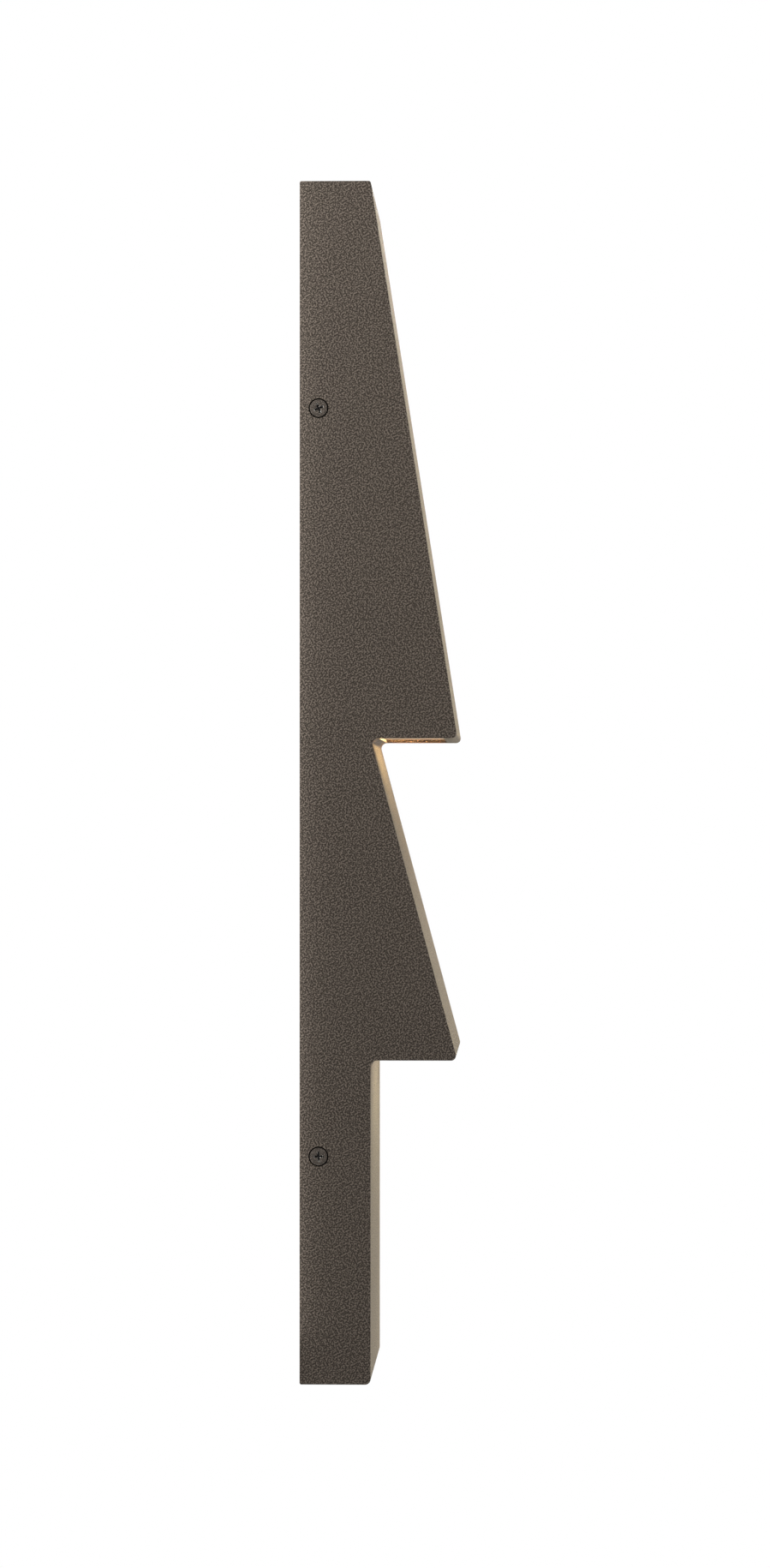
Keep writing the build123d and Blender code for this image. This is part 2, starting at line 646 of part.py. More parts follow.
def make_board_lead(tier, offset):
    """Wire from the right end of the driver to a tier's board connector."""
    step, height, run_p = TIERS[tier]
    run_x = LEAD_X0 + offset
    start_z = LEAD_EXIT_Z - offset
    end_z = step + CONNECTOR_H + CONNECTOR_HEIGHT / 2
    points = [
        (DRIVER_LENGTH / 2 - DRIVER_WALL, run_p, start_z),
        (run_x, run_p, start_z),
        (run_x, run_p, end_z),
        (run_x, board_centre(height) - CONNECTOR_WIDTH / 2, end_z),
    ]
    return lead(points, LEAD_BEND)


def make_wire_clips():
    """Saddles that hold each long pair of leads against a side wall."""
    places = [(1, z, UPPER_LEAD_P) for z in RIGHT_CLIP_LEVELS]
    places += [(-1, z, UPPER_LEAD_P + LEAD_GAP) for z in LEFT_CLIP_LEVELS]
    half = LEAD_R + CLIP_RIM
    clips = []
    for side, z, p in places:
        z0, z1 = z - CLIP_LENGTH / 2, z + CLIP_LENGTH / 2
        saddle = block(LEAD_X0 - half, INNER_HALF - CLIP_BASE_T, p - half, p + half, z0, z1)
        saddle = chamfer([e for e in saddle.edges() if e.center().X < LEAD_X0 - half + 0.01], CLIP_EDGE)
        saddle += block(INNER_HALF - CLIP_BASE_T, INNER_HALF, p - half - CLIP_BASE_MARGIN,
                        p + half + CLIP_BASE_MARGIN, z0, z1)
        for offset in (0, LEAD_GAP):
            saddle -= rod_z(LEAD_R + LEAD_CLEARANCE, z0 - 1, z1 + 1, LEAD_X0 + offset, p)
        clips.append(saddle if side > 0 else mirror(saddle, about=Plane.YZ))
    return clips


def make_driver_case():
    """Moulded driver tray, open towards the wall, with a fixing ear at each end."""
    half_x, half_z = DRIVER_LENGTH / 2, DRIVER_HEIGHT / 2
    case = wall_plate(-half_x, half_x, DRIVER_Z - half_z, DRIVER_Z + half_z,
                      DRIVER_P0, DRIVER_P1, DRIVER_CORNER_R)
    for side in SIDES:
        ends = sorted((side * (half_x - 1), side * (half_x + EAR_REACH)))
        case += wall_plate(ends[0], ends[1], DRIVER_Z - EAR_WIDTH / 2, DRIVER_Z + EAR_WIDTH / 2,
                           DRIVER_P1 - EAR_T, DRIVER_P1, DRIVER_CORNER_R / 2)
    case -= wall_plate(-half_x + DRIVER_WALL, half_x - DRIVER_WALL, DRIVER_Z - half_z + DRIVER_WALL,
                       DRIVER_Z + half_z - DRIVER_WALL, DRIVER_P0 - 1, DRIVER_P1 - DRIVER_WALL,
                       DRIVER_CORNER_R / 2)
    for side in SIDES:
        case -= rod_p(SMALL_SCREW_R + HOLE_CLEARANCE, DRIVER_P1 - EAR_T - 1, DRIVER_P1 + 1,
                      side * EAR_SCREW_X, DRIVER_Z)
    hole_r = LEAD_R + LEAD_CLEARANCE
    for offset in (0, LEAD_GAP):
        z = LEAD_EXIT_Z - offset
        for p in (UPPER_LEAD_P, LOWER_LEAD_P):
            case -= rod_x(hole_r, half_x - DRIVER_WALL - 0.5, half_x + 1, p, z)
        case -= rod_x(hole_r, -half_x - 1, -half_x + DRIVER_WALL + 0.5, UPPER_LEAD_P + LEAD_GAP, z)
    return case


def make_driver_potting():
    """Resin fill that seals the driver's circuit inside the tray."""
    half_x, half_z = DRIVER_LENGTH / 2 - DRIVER_WALL, DRIVER_HEIGHT / 2 - DRIVER_WALL
    return wall_plate(-half_x, half_x, DRIVER_Z - half_z, DRIVER_Z + half_z,
                      DRIVER_P0 + POTTING_RECESS, DRIVER_P1 - DRIVER_WALL, DRIVER_CORNER_R / 2)


def make_driver_screws():
    """Two pan head screws through the driver's ears into the housing bosses."""
    seat = DRIVER_P1 - EAR_T
    return [Pos(side * EAR_SCREW_X, -seat, DRIVER_Z) * Rot(-90, 0, 0) * pan_screw(SMALL_SCREW_LENGTH)
            for side in SIDES]


def make_lens(step):
    """Frosted plate over the light slot with a raised part that drops into the slot."""
    edge = LENS_OVERLAP
    plate = pad(-SLOT_HALF - edge, SLOT_HALF + edge, SLOT_P0 - edge, SLOT_P1 + edge,
                step + LENS_H, step + LENS_H + LENS_T, SLOT_CORNER_R + edge)
    return plate + pad(-SLOT_HALF + LENS_FIT, SLOT_HALF - LENS_FIT, SLOT_P0 + LENS_FIT, SLOT_P1 - LENS_FIT,
                       step + LENS_RECESS, step + LENS_H, SLOT_CORNER_R - LENS_FIT)


def make_lens_gasket(step):
    """Flat silicone ring between the lens and the inside of the underside."""
    edge = LENS_OVERLAP
    ring = pad(-SLOT_HALF - edge, SLOT_HALF + edge, SLOT_P0 - edge, SLOT_P1 + edge,
               step + GASKET_H, step + GASKET_H + GASKET_T, SLOT_CORNER_R + edge)
    return ring - pad(-SLOT_HALF, SLOT_HALF, SLOT_P0, SLOT_P1, step, step + 2 * LENS_H, SLOT_CORNER_R)


def make_reflector(step, height):
    """White four-sided reflector that flares from the board down to the lens."""
    edge = LENS_OVERLAP - REFLECTOR_INSET
    middle = board_centre(height)
    top_half = BOARD_WIDTH / 2 - REFLECTOR_INSET
    low = (SLOT_HALF + edge, SLOT_P0 - edge, SLOT_P1 + edge)
    top = (REFLECTOR_TOP_HALF + REFLECTOR_WALL, middle - top_half, middle + top_half)
    z0, z1 = step + REFLECTOR_H, step + BOARD_H

    def ring(shape, shrink, z):
        """Outline of the reflector at one level."""
        half, p0, p1 = shape
        return Pos(0, -(p0 + p1) / 2, z) * Rectangle(2 * (half - shrink), p1 - p0 - 2 * shrink)

    outer = loft([ring(low, 0, z0), ring(top, 0, z1)], ruled=True)
    inner = loft([ring(low, REFLECTOR_WALL, z0), ring(top, REFLECTOR_WALL, z1)], ruled=True)
    return outer - inner


def make_led_board(step, height):
    """Metal-backed light board with a tail for its connector."""
    middle = board_centre(height)
    half = BOARD_WIDTH / 2
    board = pad(-BOARD_HALF, CONNECTOR_X1, middle - half, middle + half, step + BOARD_H, step + SHELF_H, 1.0)
    for side in SIDES:
        board -= rod_z(SMALL_SCREW_R + HOLE_CLEARANCE, step + BOARD_H - 1, step + SHELF_H + 1,
                       side * BOARD_SCREW_X, middle)
    return board


def make_leds(step, height):
    """Row of light-emitting packages under the board."""
    middle = board_centre(height)
    packages = []
    for index in range(LED_COUNT):
        x = (index - (LED_COUNT - 1) / 2) * LED_PITCH
        packages.append(block(x - LED_LENGTH / 2, x + LED_LENGTH / 2, middle - LED_WIDTH / 2,
                              middle + LED_WIDTH / 2, step + BOARD_H - LED_HEIGHT, step + BOARD_H))
    return packages


def make_board_screws(step, height):
    """Two pan head screws that clamp the board up against the shelf."""
    return [Pos(side * BOARD_SCREW_X, -board_centre(height), step + BOARD_H) * Rot(180, 0, 0)
            * pan_screw(BOARD_SCREW_LENGTH) for side in SIDES]


def make_light_bracket(step, height):
    """Bent aluminium angle: shelf above the board, upright flange towards the front wall."""
    face = flange_face(height)
    back = board_centre(height) - BOARD_WIDTH / 2 - SHELF_OVERHANG
    z0, z1 = step + SHELF_H, step + FLANGE_TOP_H
    outline = [
        (back, z0),
        (face, z0),
        (face, z1),
        (face - SHELF_T, z1),
        (face - SHELF_T, z0 + SHELF_T),
        (back, z0 + SHELF_T),
    ]
    angle = side_face(outline)
    angle = round_corner(angle, outline[1], BEND_R + SHELF_T)
    angle = round_corner(angle, outline[4], BEND_R)
    bracket = extrude(angle, amount=BOARD_HALF, dir=(1, 0, 0), both=True)
    for side in SIDES:
        bracket -= rod_p(SMALL_SCREW_R + HOLE_CLEARANCE, face - SHELF_T - 1, face + 1,
                         side * FLANGE_SCREW_X, step + FLANGE_SCREW_H)
        bracket -= rod_z(SMALL_SCREW_R + THREAD_CLEARANCE, z0 - 1, z0 + SHELF_T + 1,
                         side * BOARD_SCREW_X, board_centre(height))
    return bracket


def make_bracket_screws(step, height):
    """Two pan head screws through the flange into the housing bosses."""
    seat = flange_face(height) - SHELF_T
    return [Pos(side * FLANGE_SCREW_X, -seat, step + FLANGE_SCREW_H) * Rot(-90, 0, 0)
            * pan_screw(SMALL_SCREW_LENGTH) for side in SIDES]


def make_connector(step, height):
    """Two-way push-in connector under the tail of the board."""
    middle = board_centre(height)
    p0, p1 = middle - CONNECTOR_WIDTH / 2, middle + CONNECTOR_WIDTH / 2
    z0, z1 = step + CONNECTOR_H, step + BOARD_H
    body = block(CONNECTOR_X0, CONNECTOR_X1, p0, p1, z0, z1)
    body = chamfer([e for e in body.edges() if e.center().Z < z0 + 0.1], CONNECTOR_EDGE)
    return body


def save(name, shape):
    """Write one node, as a single solid or as a group of separate solids."""
    solids = shape if isinstance(shape, (list, ShapeList)) else [shape]
    whole = solids[0] if len(solids) == 1 else Compound(children=list(solids))
    export_step(whole, os.path.join("parts", name + ".step"))


def main():
    """Build every node of the lamp."""
    os.makedirs("parts", exist_ok=True)
    save("housing", make_housing())
    save("side_screws", make_side_screws())
    save("clinch_nuts", make_clinch_nuts())
    save("wall_bracket", make_wall_bracket())
    save("rim_seal", make_rim_seal())
    save("supply_bushing", make_supply_bushing())
    save("terminal_block", make_terminal_block())
    save("terminal_screws", make_terminal_screws())
    save("terminal_fixings", make_terminal_fixings())
    save("earth_screw", make_earth_screw())
    save("earth_lug", make_earth_lug())
    save("earth_lead", make_earth_lead())
    save("live_lead", make_supply_lead(-1, LEAD_GAP))
    save("neutral_lead", make_supply_lead(0, 0))
    save("wire_clips", make_wire_clips())
    save("driver_case", make_driver_case())
    save("driver_potting", make_driver_potting())
    save("driver_screws", make_driver_screws())
    for tier, (step, height, _) in TIERS.items():
        save(tier + "_lens", make_lens(step))
        save(tier + "_lens_gasket", make_lens_gasket(step))
        save(tier + "_reflector", make_reflector(step, height))
        save(tier + "_led_board", make_led_board(step, height))
        save(tier + "_leds", make_leds(step, height))
        save(tier + "_board_screws", make_board_screws(step, height))
        save(tier + "_light_bracket", make_light_bracket(step, height))
        save(tier + "_bracket_screws", make_bracket_screws(step, height))
        save(tier + "_connector", make_connector(step, height))
        save(tier + "_lead_red", make_board_lead(tier, 0))
        save(tier + "_lead_black", make_board_lead(tier, LEAD_GAP))


main()
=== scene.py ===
"""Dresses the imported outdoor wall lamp: finishes, fine hardware, wiring, soft light and the camera."""

import json
import logging
import math
from dataclasses import dataclass
from enum import Enum

import bmesh
import bpy
from mathutils import Matrix, Vector, noise


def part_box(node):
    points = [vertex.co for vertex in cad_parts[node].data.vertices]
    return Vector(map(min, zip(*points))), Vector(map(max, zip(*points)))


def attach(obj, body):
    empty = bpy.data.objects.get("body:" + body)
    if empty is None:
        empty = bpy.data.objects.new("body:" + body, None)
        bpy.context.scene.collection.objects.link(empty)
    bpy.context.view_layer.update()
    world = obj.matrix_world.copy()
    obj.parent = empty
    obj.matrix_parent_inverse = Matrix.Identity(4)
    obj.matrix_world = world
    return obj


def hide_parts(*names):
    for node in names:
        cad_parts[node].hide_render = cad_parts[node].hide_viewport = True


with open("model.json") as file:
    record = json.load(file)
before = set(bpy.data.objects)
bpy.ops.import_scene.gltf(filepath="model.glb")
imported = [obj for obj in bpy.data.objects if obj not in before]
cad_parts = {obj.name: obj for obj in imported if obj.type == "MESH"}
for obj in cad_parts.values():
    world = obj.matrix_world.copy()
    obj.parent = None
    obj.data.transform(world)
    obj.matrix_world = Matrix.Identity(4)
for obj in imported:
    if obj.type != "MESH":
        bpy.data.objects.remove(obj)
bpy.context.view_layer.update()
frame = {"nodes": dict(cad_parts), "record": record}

LOG = logging.getLogger("wall_lamp")
MM = 0.001
TINY = 1e-6
SOFT_RANGE = (0.3, 0.7)
# How far across a side's normal points at least, and the turn of the grain against the edges.
SIDE_TURN = 0.7
SKIN_TURN = math.radians(27.0)
Colour = tuple[float, float, float]
Point = tuple[float, float, float]
Span = tuple[float, float]
Inputs = dict[str | int, object]
Socket = bpy.types.NodeSocket
Node = bpy.types.Node
Shape = bmesh.types.BMesh


class Effect(Enum):
    """Surface effects that several finishes share."""

    FINE_GRAIN = "fine_grain"
    SANDY_SKIN = "sandy_skin"
    DRAWN_LINES = "drawn_lines"
    PORES = "pores"


class HeadStyle(Enum):
    """Screw heads used on the lamp."""

    SUNK = "sunk"
    PAN = "pan"


class Desk:
    """Lays and joins the nodes of one shader tree."""

    shader: Node

    def __init__(self, tree: bpy.types.NodeTree) -> None:
        """Start on a tree, emptied."""
        self.tree = tree
        tree.nodes.clear()

    def feed(self, node: Node, inputs: Inputs) -> None:
        """Set or join inputs of a node.

        Args:
            node: The node to feed.
            inputs: Plain values or other nodes' outputs, by input name or number.
        """
        for name, value in inputs.items():
            if isinstance(value, Socket):
                self.tree.links.new(value, node.inputs[name])
            else:
                node.inputs[name].default_value = value

    def node(self, kind: str, inputs: Inputs | None = None, **settings: object) -> Node:
        """Lay one node and join what feeds it.

        Args:
            kind: The node's type, without the part that all shader nodes share.
            inputs: Plain values or other nodes' outputs, by input name or number.
            settings: The node's own options.

        Returns:
            The new node.
        """
        made = self.tree.nodes.new("ShaderNode" + kind)
        for name, value in settings.items():
            setattr(made, name, value)
        self.feed(made, inputs or {})
        return made

    def sum(self, operation: str, first: object, second: object = 0.0) -> Socket:
        """Join two values by arithmetic, or change the first alone, such as by ABSOLUTE."""
        return self.node("Math", {0: first, 1: second}, operation=operation).outputs[0]

    def weigh(self, first: Socket, second: Socket, share: float) -> Socket:
        """Mix two values by the second one's share."""
        return self.sum("ADD", self.sum("MULTIPLY", first, 1.0 - share), self.sum("MULTIPLY", second, share))

    def spread(self, value: Socket, low: float, high: float, to_low: float = 0.0, to_high: float = 1.0,
               ) -> Socket:
        """Stretch a value from one range to another, smoothly and within its ends."""
        ends = {"From Min": low, "From Max": high, "To Min": to_low, "To Max": to_high, "Value": value}
        return self.node("MapRange", ends, interpolation_type="SMOOTHSTEP").outputs["Result"]

    def blend(self, mask: Socket, first: object, second: object) -> Socket:
        """Mix two colours, plain or outputs, by the second one's share."""
        one, other = (c if isinstance(c, Socket) else (*c, 1.0) for c in (first, second))
        return self.node("Mix", {0: mask, 6: one, 7: other}, data_type="RGBA").outputs[2]

    def place(self, stretch: Point = (1, 1, 1)) -> Socket:
        """Give the piece's own place in metres, stretched by a factor for each direction."""
        spot = self.node("TexCoord").outputs["Object"]
        return self.node("Mapping", {"Vector": spot, "Scale": stretch}).outputs["Vector"]

    def skin(self) -> Socket:
        """Give the piece's own place on its surface in metres, laid flat.

        Returns:
            The place's output: out and up on the sides, across and up on the other faces.
        """
        spot = self.node("SeparateXYZ", {"Vector": self.node("TexCoord").outputs["Object"]}).outputs
        side = self.node("CombineXYZ", {"X": spot["Y"], "Y": spot["Z"]}).outputs[0]
        rise = self.sum("ADD", spot["Y"], spot["Z"])
        face = self.node("CombineXYZ", {"X": spot["X"], "Y": rise}).outputs[0]
        normal = self.node("NewGeometry").outputs["True Normal"]
        turned = self.sum("ABSOLUTE", self.node("SeparateXYZ", {"Vector": normal}).outputs["X"])
        sideways = self.sum("GREATER_THAN", turned, SIDE_TURN)
        flat = self.node("Mix", {0: sideways, 4: face, 5: side}, data_type="VECTOR").outputs[1]
        turn = (0.0, 0.0, SKIN_TURN)
        return self.node("Mapping", {"Vector": flat, "Rotation": turn}).outputs["Vector"]

    def cloud(self, scale: float, detail: float, warp: float = 0.0) -> Socket:
        """Lay soft noise through the piece, by cells per metre, finer layers and swirl."""
        inputs = {"Vector": self.place(), "Scale": scale, "Detail": detail, "Distortion": warp}
        return self.node("TexNoise", inputs).outputs["Fac"]

    def effect(self, effect: Effect, spot: Socket, scale: float) -> bpy.types.NodeOutputs:
        """Place a shared effect at so many cells per metre and give its outputs."""
        return self.node("Group", {"Place": spot, "Scale": scale}, node_tree=shared_effect(effect)).outputs

    def drive(self, inputs: Inputs) -> None:
        """Set or join inputs of the material's shader."""
        self.feed(self.shader, inputs)

    def relief(self, height: Socket, depth: float, strength: float) -> None:
        """Raise the surface by a pattern, by its full depth in metres and the share that shows."""
        bump = self.node("Bump", {"Height": height, "Distance": depth, "Strength": strength})
        self.drive({"Normal": bump.outputs["Normal"]})


def shared_effect(effect: Effect) -> bpy.types.NodeTree:
    """Give the node group of an effect, made the first time it is asked for.

    Args:
        effect: Which one.

    Returns:
        The group.
    """
    known = bpy.data.node_groups.get(effect.value)
    if known:
        return known
    group = bpy.data.node_groups.new(effect.value, "ShaderNodeTree")
    group.interface.new_socket("Place", in_out="INPUT", socket_type="NodeSocketVector")
    group.interface.new_socket("Scale", in_out="INPUT", socket_type="NodeSocketFloat")
    desk = Desk(group)
    enter = group.nodes.new("NodeGroupInput").outputs
    made = Pattern(desk, enter["Place"], enter["Scale"]).outputs(effect)
    for name in made:
        group.interface.new_socket(name, in_out="OUTPUT", socket_type="NodeSocketFloat")
    desk.feed(group.nodes.new("NodeGroupOutput"), made)
    return group


@dataclass(frozen=True)
class Pattern:
    """Lays the nodes of a shared effect inside its group."""

    desk: Desk
    spot: Socket
    scale: Socket
    grain_range: Span = (0.41, 0.59)
    finer_times: float = 2.3
    finer_share: float = 0.4
    flake_times: float = 1.3
    flake_size: Span = (0.12, 0.42)
    flake_choice: Span = (0.8, 0.95)
    sand_range: Span = (0.34, 0.78)
    cell_range: Span = (0.1, 0.55)
    swell_times: float = 0.2

    def outputs(self, effect: Effect) -> dict[str, Socket]:
        """Lay one effect and give its outputs by name."""
        return {Effect.FINE_GRAIN: self.grain, Effect.SANDY_SKIN: self.sand,
                Effect.DRAWN_LINES: self.lines, Effect.PORES: self.pores}[effect]()

    def speckle(self, detail: float, times: float = 1.0, rough: float = 0.5, room: str = "3D") -> Socket:
        """Lay noise at a multiple of the effect's scale, 2D for a place that is laid flat."""
        scale = self.desk.sum("MULTIPLY", self.scale, times)
        return self.desk.node("TexNoise", {"Vector": self.spot, "Scale": scale, "Detail": detail,
                                           "Roughness": rough}, noise_dimensions=room).outputs["Fac"]

    def flakes(self) -> Socket:
        """Lay a few bright flakes among many dull ones, on a place that is laid flat.

        Returns:
            The flakes' mask.
        """
        inputs = {"Vector": self.spot, "Scale": self.desk.sum("MULTIPLY", self.scale, self.flake_times)}
        cells = self.desk.node("TexVoronoi", inputs, voronoi_dimensions="2D").outputs
        chosen = self.desk.node("SeparateColor", {"Color": cells["Color"]}).outputs["Red"]
        near = self.desk.spread(cells["Distance"], *self.flake_size, 1.0, 0.0)
        return self.desk.sum("MULTIPLY", near, self.desk.spread(chosen, *self.flake_choice))

    def grain(self) -> dict[str, Socket]:
        """Fine uneven grain, as on a spark-cut surface."""
        both = self.desk.weigh(self.speckle(detail=2.0, rough=0.6),
                               self.speckle(detail=1.0, times=self.finer_times), self.finer_share)
        return {"Mottle": self.desk.spread(both, *self.grain_range), "Height": both}

    def sand(self) -> dict[str, Socket]:
        """Fine even grain of a baked powder coat, all of one size, with a few bright flakes."""
        sand = self.speckle(detail=0.0, room="2D")
        return {"Mottle": self.desk.spread(sand, *self.sand_range), "Height": sand,
                "Glint": self.flakes()}

    def lines(self) -> dict[str, Socket]:
        """Long soft streaks, as on rolled or drawn metal."""
        streak = self.speckle(detail=4.0, rough=0.65)
        return {"Mottle": self.desk.spread(streak, *SOFT_RANGE), "Height": streak}

    def pores(self) -> dict[str, Socket]:
        """Closed round cells of foam or small bubbles."""
        cells = self.desk.node("TexVoronoi", {"Vector": self.spot, "Scale": self.scale},
                               feature="SMOOTH_F1").outputs["Distance"]
        return {"Mottle": self.speckle(detail=2.0, times=self.swell_times),
                "Height": self.desk.spread(cells, *self.cell_range)}


@dataclass(frozen=True)
class Finish:
    """A finish, named for the material slot of the record that it dresses."""

    slot: str

    def make(self) -> bpy.types.Material:
        """Make the material.

        Returns:
            The material with its nodes laid.
        """
        material = bpy.data.materials.new(self.slot)
        material.use_nodes = True
        desk = Desk(material.node_tree)
        desk.shader = desk.node("BsdfPrincipled")
        desk.node("OutputMaterial", {"Surface": desk.shader.outputs["BSDF"]})
        self.lay(desk)
        return material

    def lay(self, desk: Desk) -> None:
        """Lay the nodes that drive the shader."""
        raise NotImplementedError


@dataclass(frozen=True)
class PowderCoat(Finish):
    """Baked powder paint with a fine sandy skin and a trace of metal flake."""

    deep: Colour
    light: Colour
    flake: Colour
    scale: float
    depth: float
    strength: float
    rough: Span
    flake_share: float = 0.6
    shine: float = 0.5
    dust: float = 0.0
    dust_tint: Colour = (1.0, 0.82, 0.48)
    dust_rough: float = 0.35
    cloud_scale: float = 55.0
    cloud_share: float = 0.02

    def lay(self, desk: Desk) -> None:
        """Lay mottled paint, flakes, uneven gloss and sandy relief.

        Args:
            desk: Where to lay the nodes.
        """
        grain = desk.effect(Effect.SANDY_SKIN, desk.skin(), self.scale)
        cloud = desk.cloud(self.cloud_scale, detail=3.0)
        uneven = desk.spread(cloud, *SOFT_RANGE, -self.cloud_share, self.cloud_share)
        paint = desk.blend(desk.sum("ADD", grain["Mottle"], uneven), self.deep, self.light)
        flakes = desk.sum("MULTIPLY", grain["Glint"], self.flake_share)
        smooth, dull = self.rough
        desk.drive({
            "Base Color": desk.blend(flakes, paint, self.flake),
            "Roughness": desk.spread(grain["Mottle"], 0.0, 1.0, dull, smooth),
            "Specular IOR Level": self.shine,
            "Sheen Weight": self.dust,
            "Sheen Tint": (*self.dust_tint, 1.0),
            "Sheen Roughness": self.dust_rough,
        })
        desk.relief(grain["Height"], self.depth, self.strength)


@dataclass(frozen=True)
class ScrewPlaces:
    """Where the four screws go into the sides of the housing."""

    face: float = 76.0 * MM
    out: float = 9.6 * MM
    up: float = 189.65 * MM

    def measure(self, desk: Desk) -> tuple[Socket, Socket]:
        """Measure a surface against the nearest screw.

        Args:
            desk: Where to lay the nodes.

        Returns:
            Depth below the side and distance from the screw's axis, in metres.
        """
        spot = desk.node("SeparateXYZ", {"Vector": desk.place()}).outputs
        across, level = (desk.sum("ABSOLUTE", spot[axis]) for axis in "XZ")
        beside = desk.sum("ADD", spot["Y"], self.out)
        above = desk.sum("SUBTRACT", level, self.up)
        flat = desk.node("CombineXYZ", {"X": beside, "Y": above}).outputs[0]
        away = desk.node("VectorMath", {0: flat}, operation="LENGTH").outputs["Value"]
        return desk.sum("SUBTRACT", self.face, across), away


SIDE_SCREWS = ScrewPlaces()
# Near-black colour painted as shade into the screw holes, the recesses and the rims of the screw heads, where
# these hollows lie in shade.
PAINTED_SHADE: Colour = (0.006, 0.005, 0.004)


@dataclass(frozen=True)
class HousingCoat(PowderCoat):
    """The housing's coat, with painted shade in the gap round each sunk screw."""

    hole_r: float = 5.2 * MM
    hole_fade: float = 1.02
    # Depth range below the side where the painted shade in each screw hole sets in.
    hole_shade_depth: Span = (0.1 * MM, 0.4 * MM)

    def lay(self, desk: Desk) -> None:
        """Lay the paint, then the painted shade in the screw holes.

        Args:
            desk: Where to lay the nodes.
        """
        super().lay(desk)
        deep, away = SIDE_SCREWS.measure(desk)
        hole = desk.spread(away, self.hole_r, self.hole_fade * self.hole_r, 1.0, 0.0)
        # Painted shade: the hole below the surface is darkened to near black, standing for the shade in the
        # deep gap round each head.
        hole_shade = desk.sum("MULTIPLY", hole, desk.spread(deep, *self.hole_shade_depth))
        paint = desk.shader.inputs["Base Color"].links[0].from_socket
        desk.drive({"Base Color": desk.blend(hole_shade, paint, PAINTED_SHADE)})


@dataclass(frozen=True)
class DrivenScrew(PowderCoat):
    """Painted screw, worn to steel in patches of its recess, with painted shade on the recess floor below
    them and in the gap round the head.
    """

    recess_reach: float = 3.1 * MM
    recess_fade: float = 1.15
    lip_depth: Span = (0.22 * MM, 0.35 * MM)
    # Depth range where the painted shade on the recess floor sets in, moved by the patches.
    floor_shade_depth: Span = (0.6 * MM, 1.2 * MM)
    patch_scale: float = 1100.0
    patch_range: Span = (0.43, 0.53)
    patch_lift: Span = (-1.1 * MM, 0.9 * MM)
    gap_depth: Span = (0.11 * MM, 0.2 * MM)
    steel: Colour = (0.9, 0.87, 0.82)
    steel_share: float = 0.35

    def lay(self, desk: Desk) -> None:
        """Lay the paint, then steel on the walls of the recess and painted shade below and round the edge.

        Args:
            desk: Where to lay the nodes.
        """
        super().lay(desk)
        deep, away = SIDE_SCREWS.measure(desk)
        edge = desk.spread(away, self.recess_reach, self.recess_fade * self.recess_reach)
        bare = desk.sum("MULTIPLY", desk.sum("SUBTRACT", 1.0, edge), desk.spread(deep, *self.lip_depth))
        patches = desk.spread(desk.cloud(self.patch_scale, detail=1.0), *self.patch_range, *self.patch_lift)
        # Painted shade: the recess floor below the steel walls and the gap round the head's edge are darkened
        # to near black, standing for the shade in those hollows.
        floor = desk.spread(desk.sum("ADD", deep, patches), *self.floor_shade_depth)
        gap = desk.sum("MULTIPLY", edge, desk.spread(deep, *self.gap_depth))
        recess_shade = desk.sum("MAXIMUM", desk.sum("MULTIPLY", floor, bare), gap)
        paint = desk.shader.inputs["Base Color"].links[0].from_socket
        worn = desk.blend(bare, paint, self.steel)
        # Less metal where the painted shade lies.
        unshaded_metal = desk.spread(recess_shade, 0.0, 1.0, self.steel_share, 0.0)
        desk.drive({"Base Color": desk.blend(recess_shade, worn, PAINTED_SHADE),
                    "Metallic": desk.sum("MULTIPLY", bare, unshaded_metal)})


@dataclass(frozen=True)
class PlatedMetal(Finish):
    """Bare or plated sheet metal with rolled streaks and a slow change of tint."""

    colour: Colour
    tint: Colour
    stretch: Point = (1, 1, 0.06)
    scale: float = 900.0
    rough: Span = (0.24, 0.42)
    cloud_scale: float = 38.0
    cloud_range: Span = (0.32, 0.68)
    streak: Colour = (0.2, 0.2, 0.2)
    streak_share: float = 0.22
    depth: float = 0.05 * MM
    strength: float = 0.35

    def lay(self, desk: Desk) -> None:
        """Lay streaked gloss and a cloudy tint.

        Args:
            desk: Where to lay the nodes.
        """
        lines = desk.effect(Effect.DRAWN_LINES, desk.place(self.stretch), self.scale)
        cloud = desk.spread(desk.cloud(self.cloud_scale, detail=3.0), *self.cloud_range)
        tint = desk.blend(cloud, self.colour, self.tint)
        streaks = desk.spread(lines["Mottle"], 0.0, 1.0, 0.0, self.streak_share)
        desk.drive({
            "Base Color": desk.blend(streaks, tint, self.streak),
            "Metallic": 1.0,
            "Roughness": desk.spread(lines["Mottle"], 0.0, 1.0, *self.rough),
        })
        desk.relief(lines["Height"], self.depth, self.strength)


@dataclass(frozen=True)
class TurnedMetal(PlatedMetal):
    """Metal of a small turned or pressed piece, which was rolled in no one direction."""

    stretch: Point = (1, 1, 1)
    scale: float = 1500.0


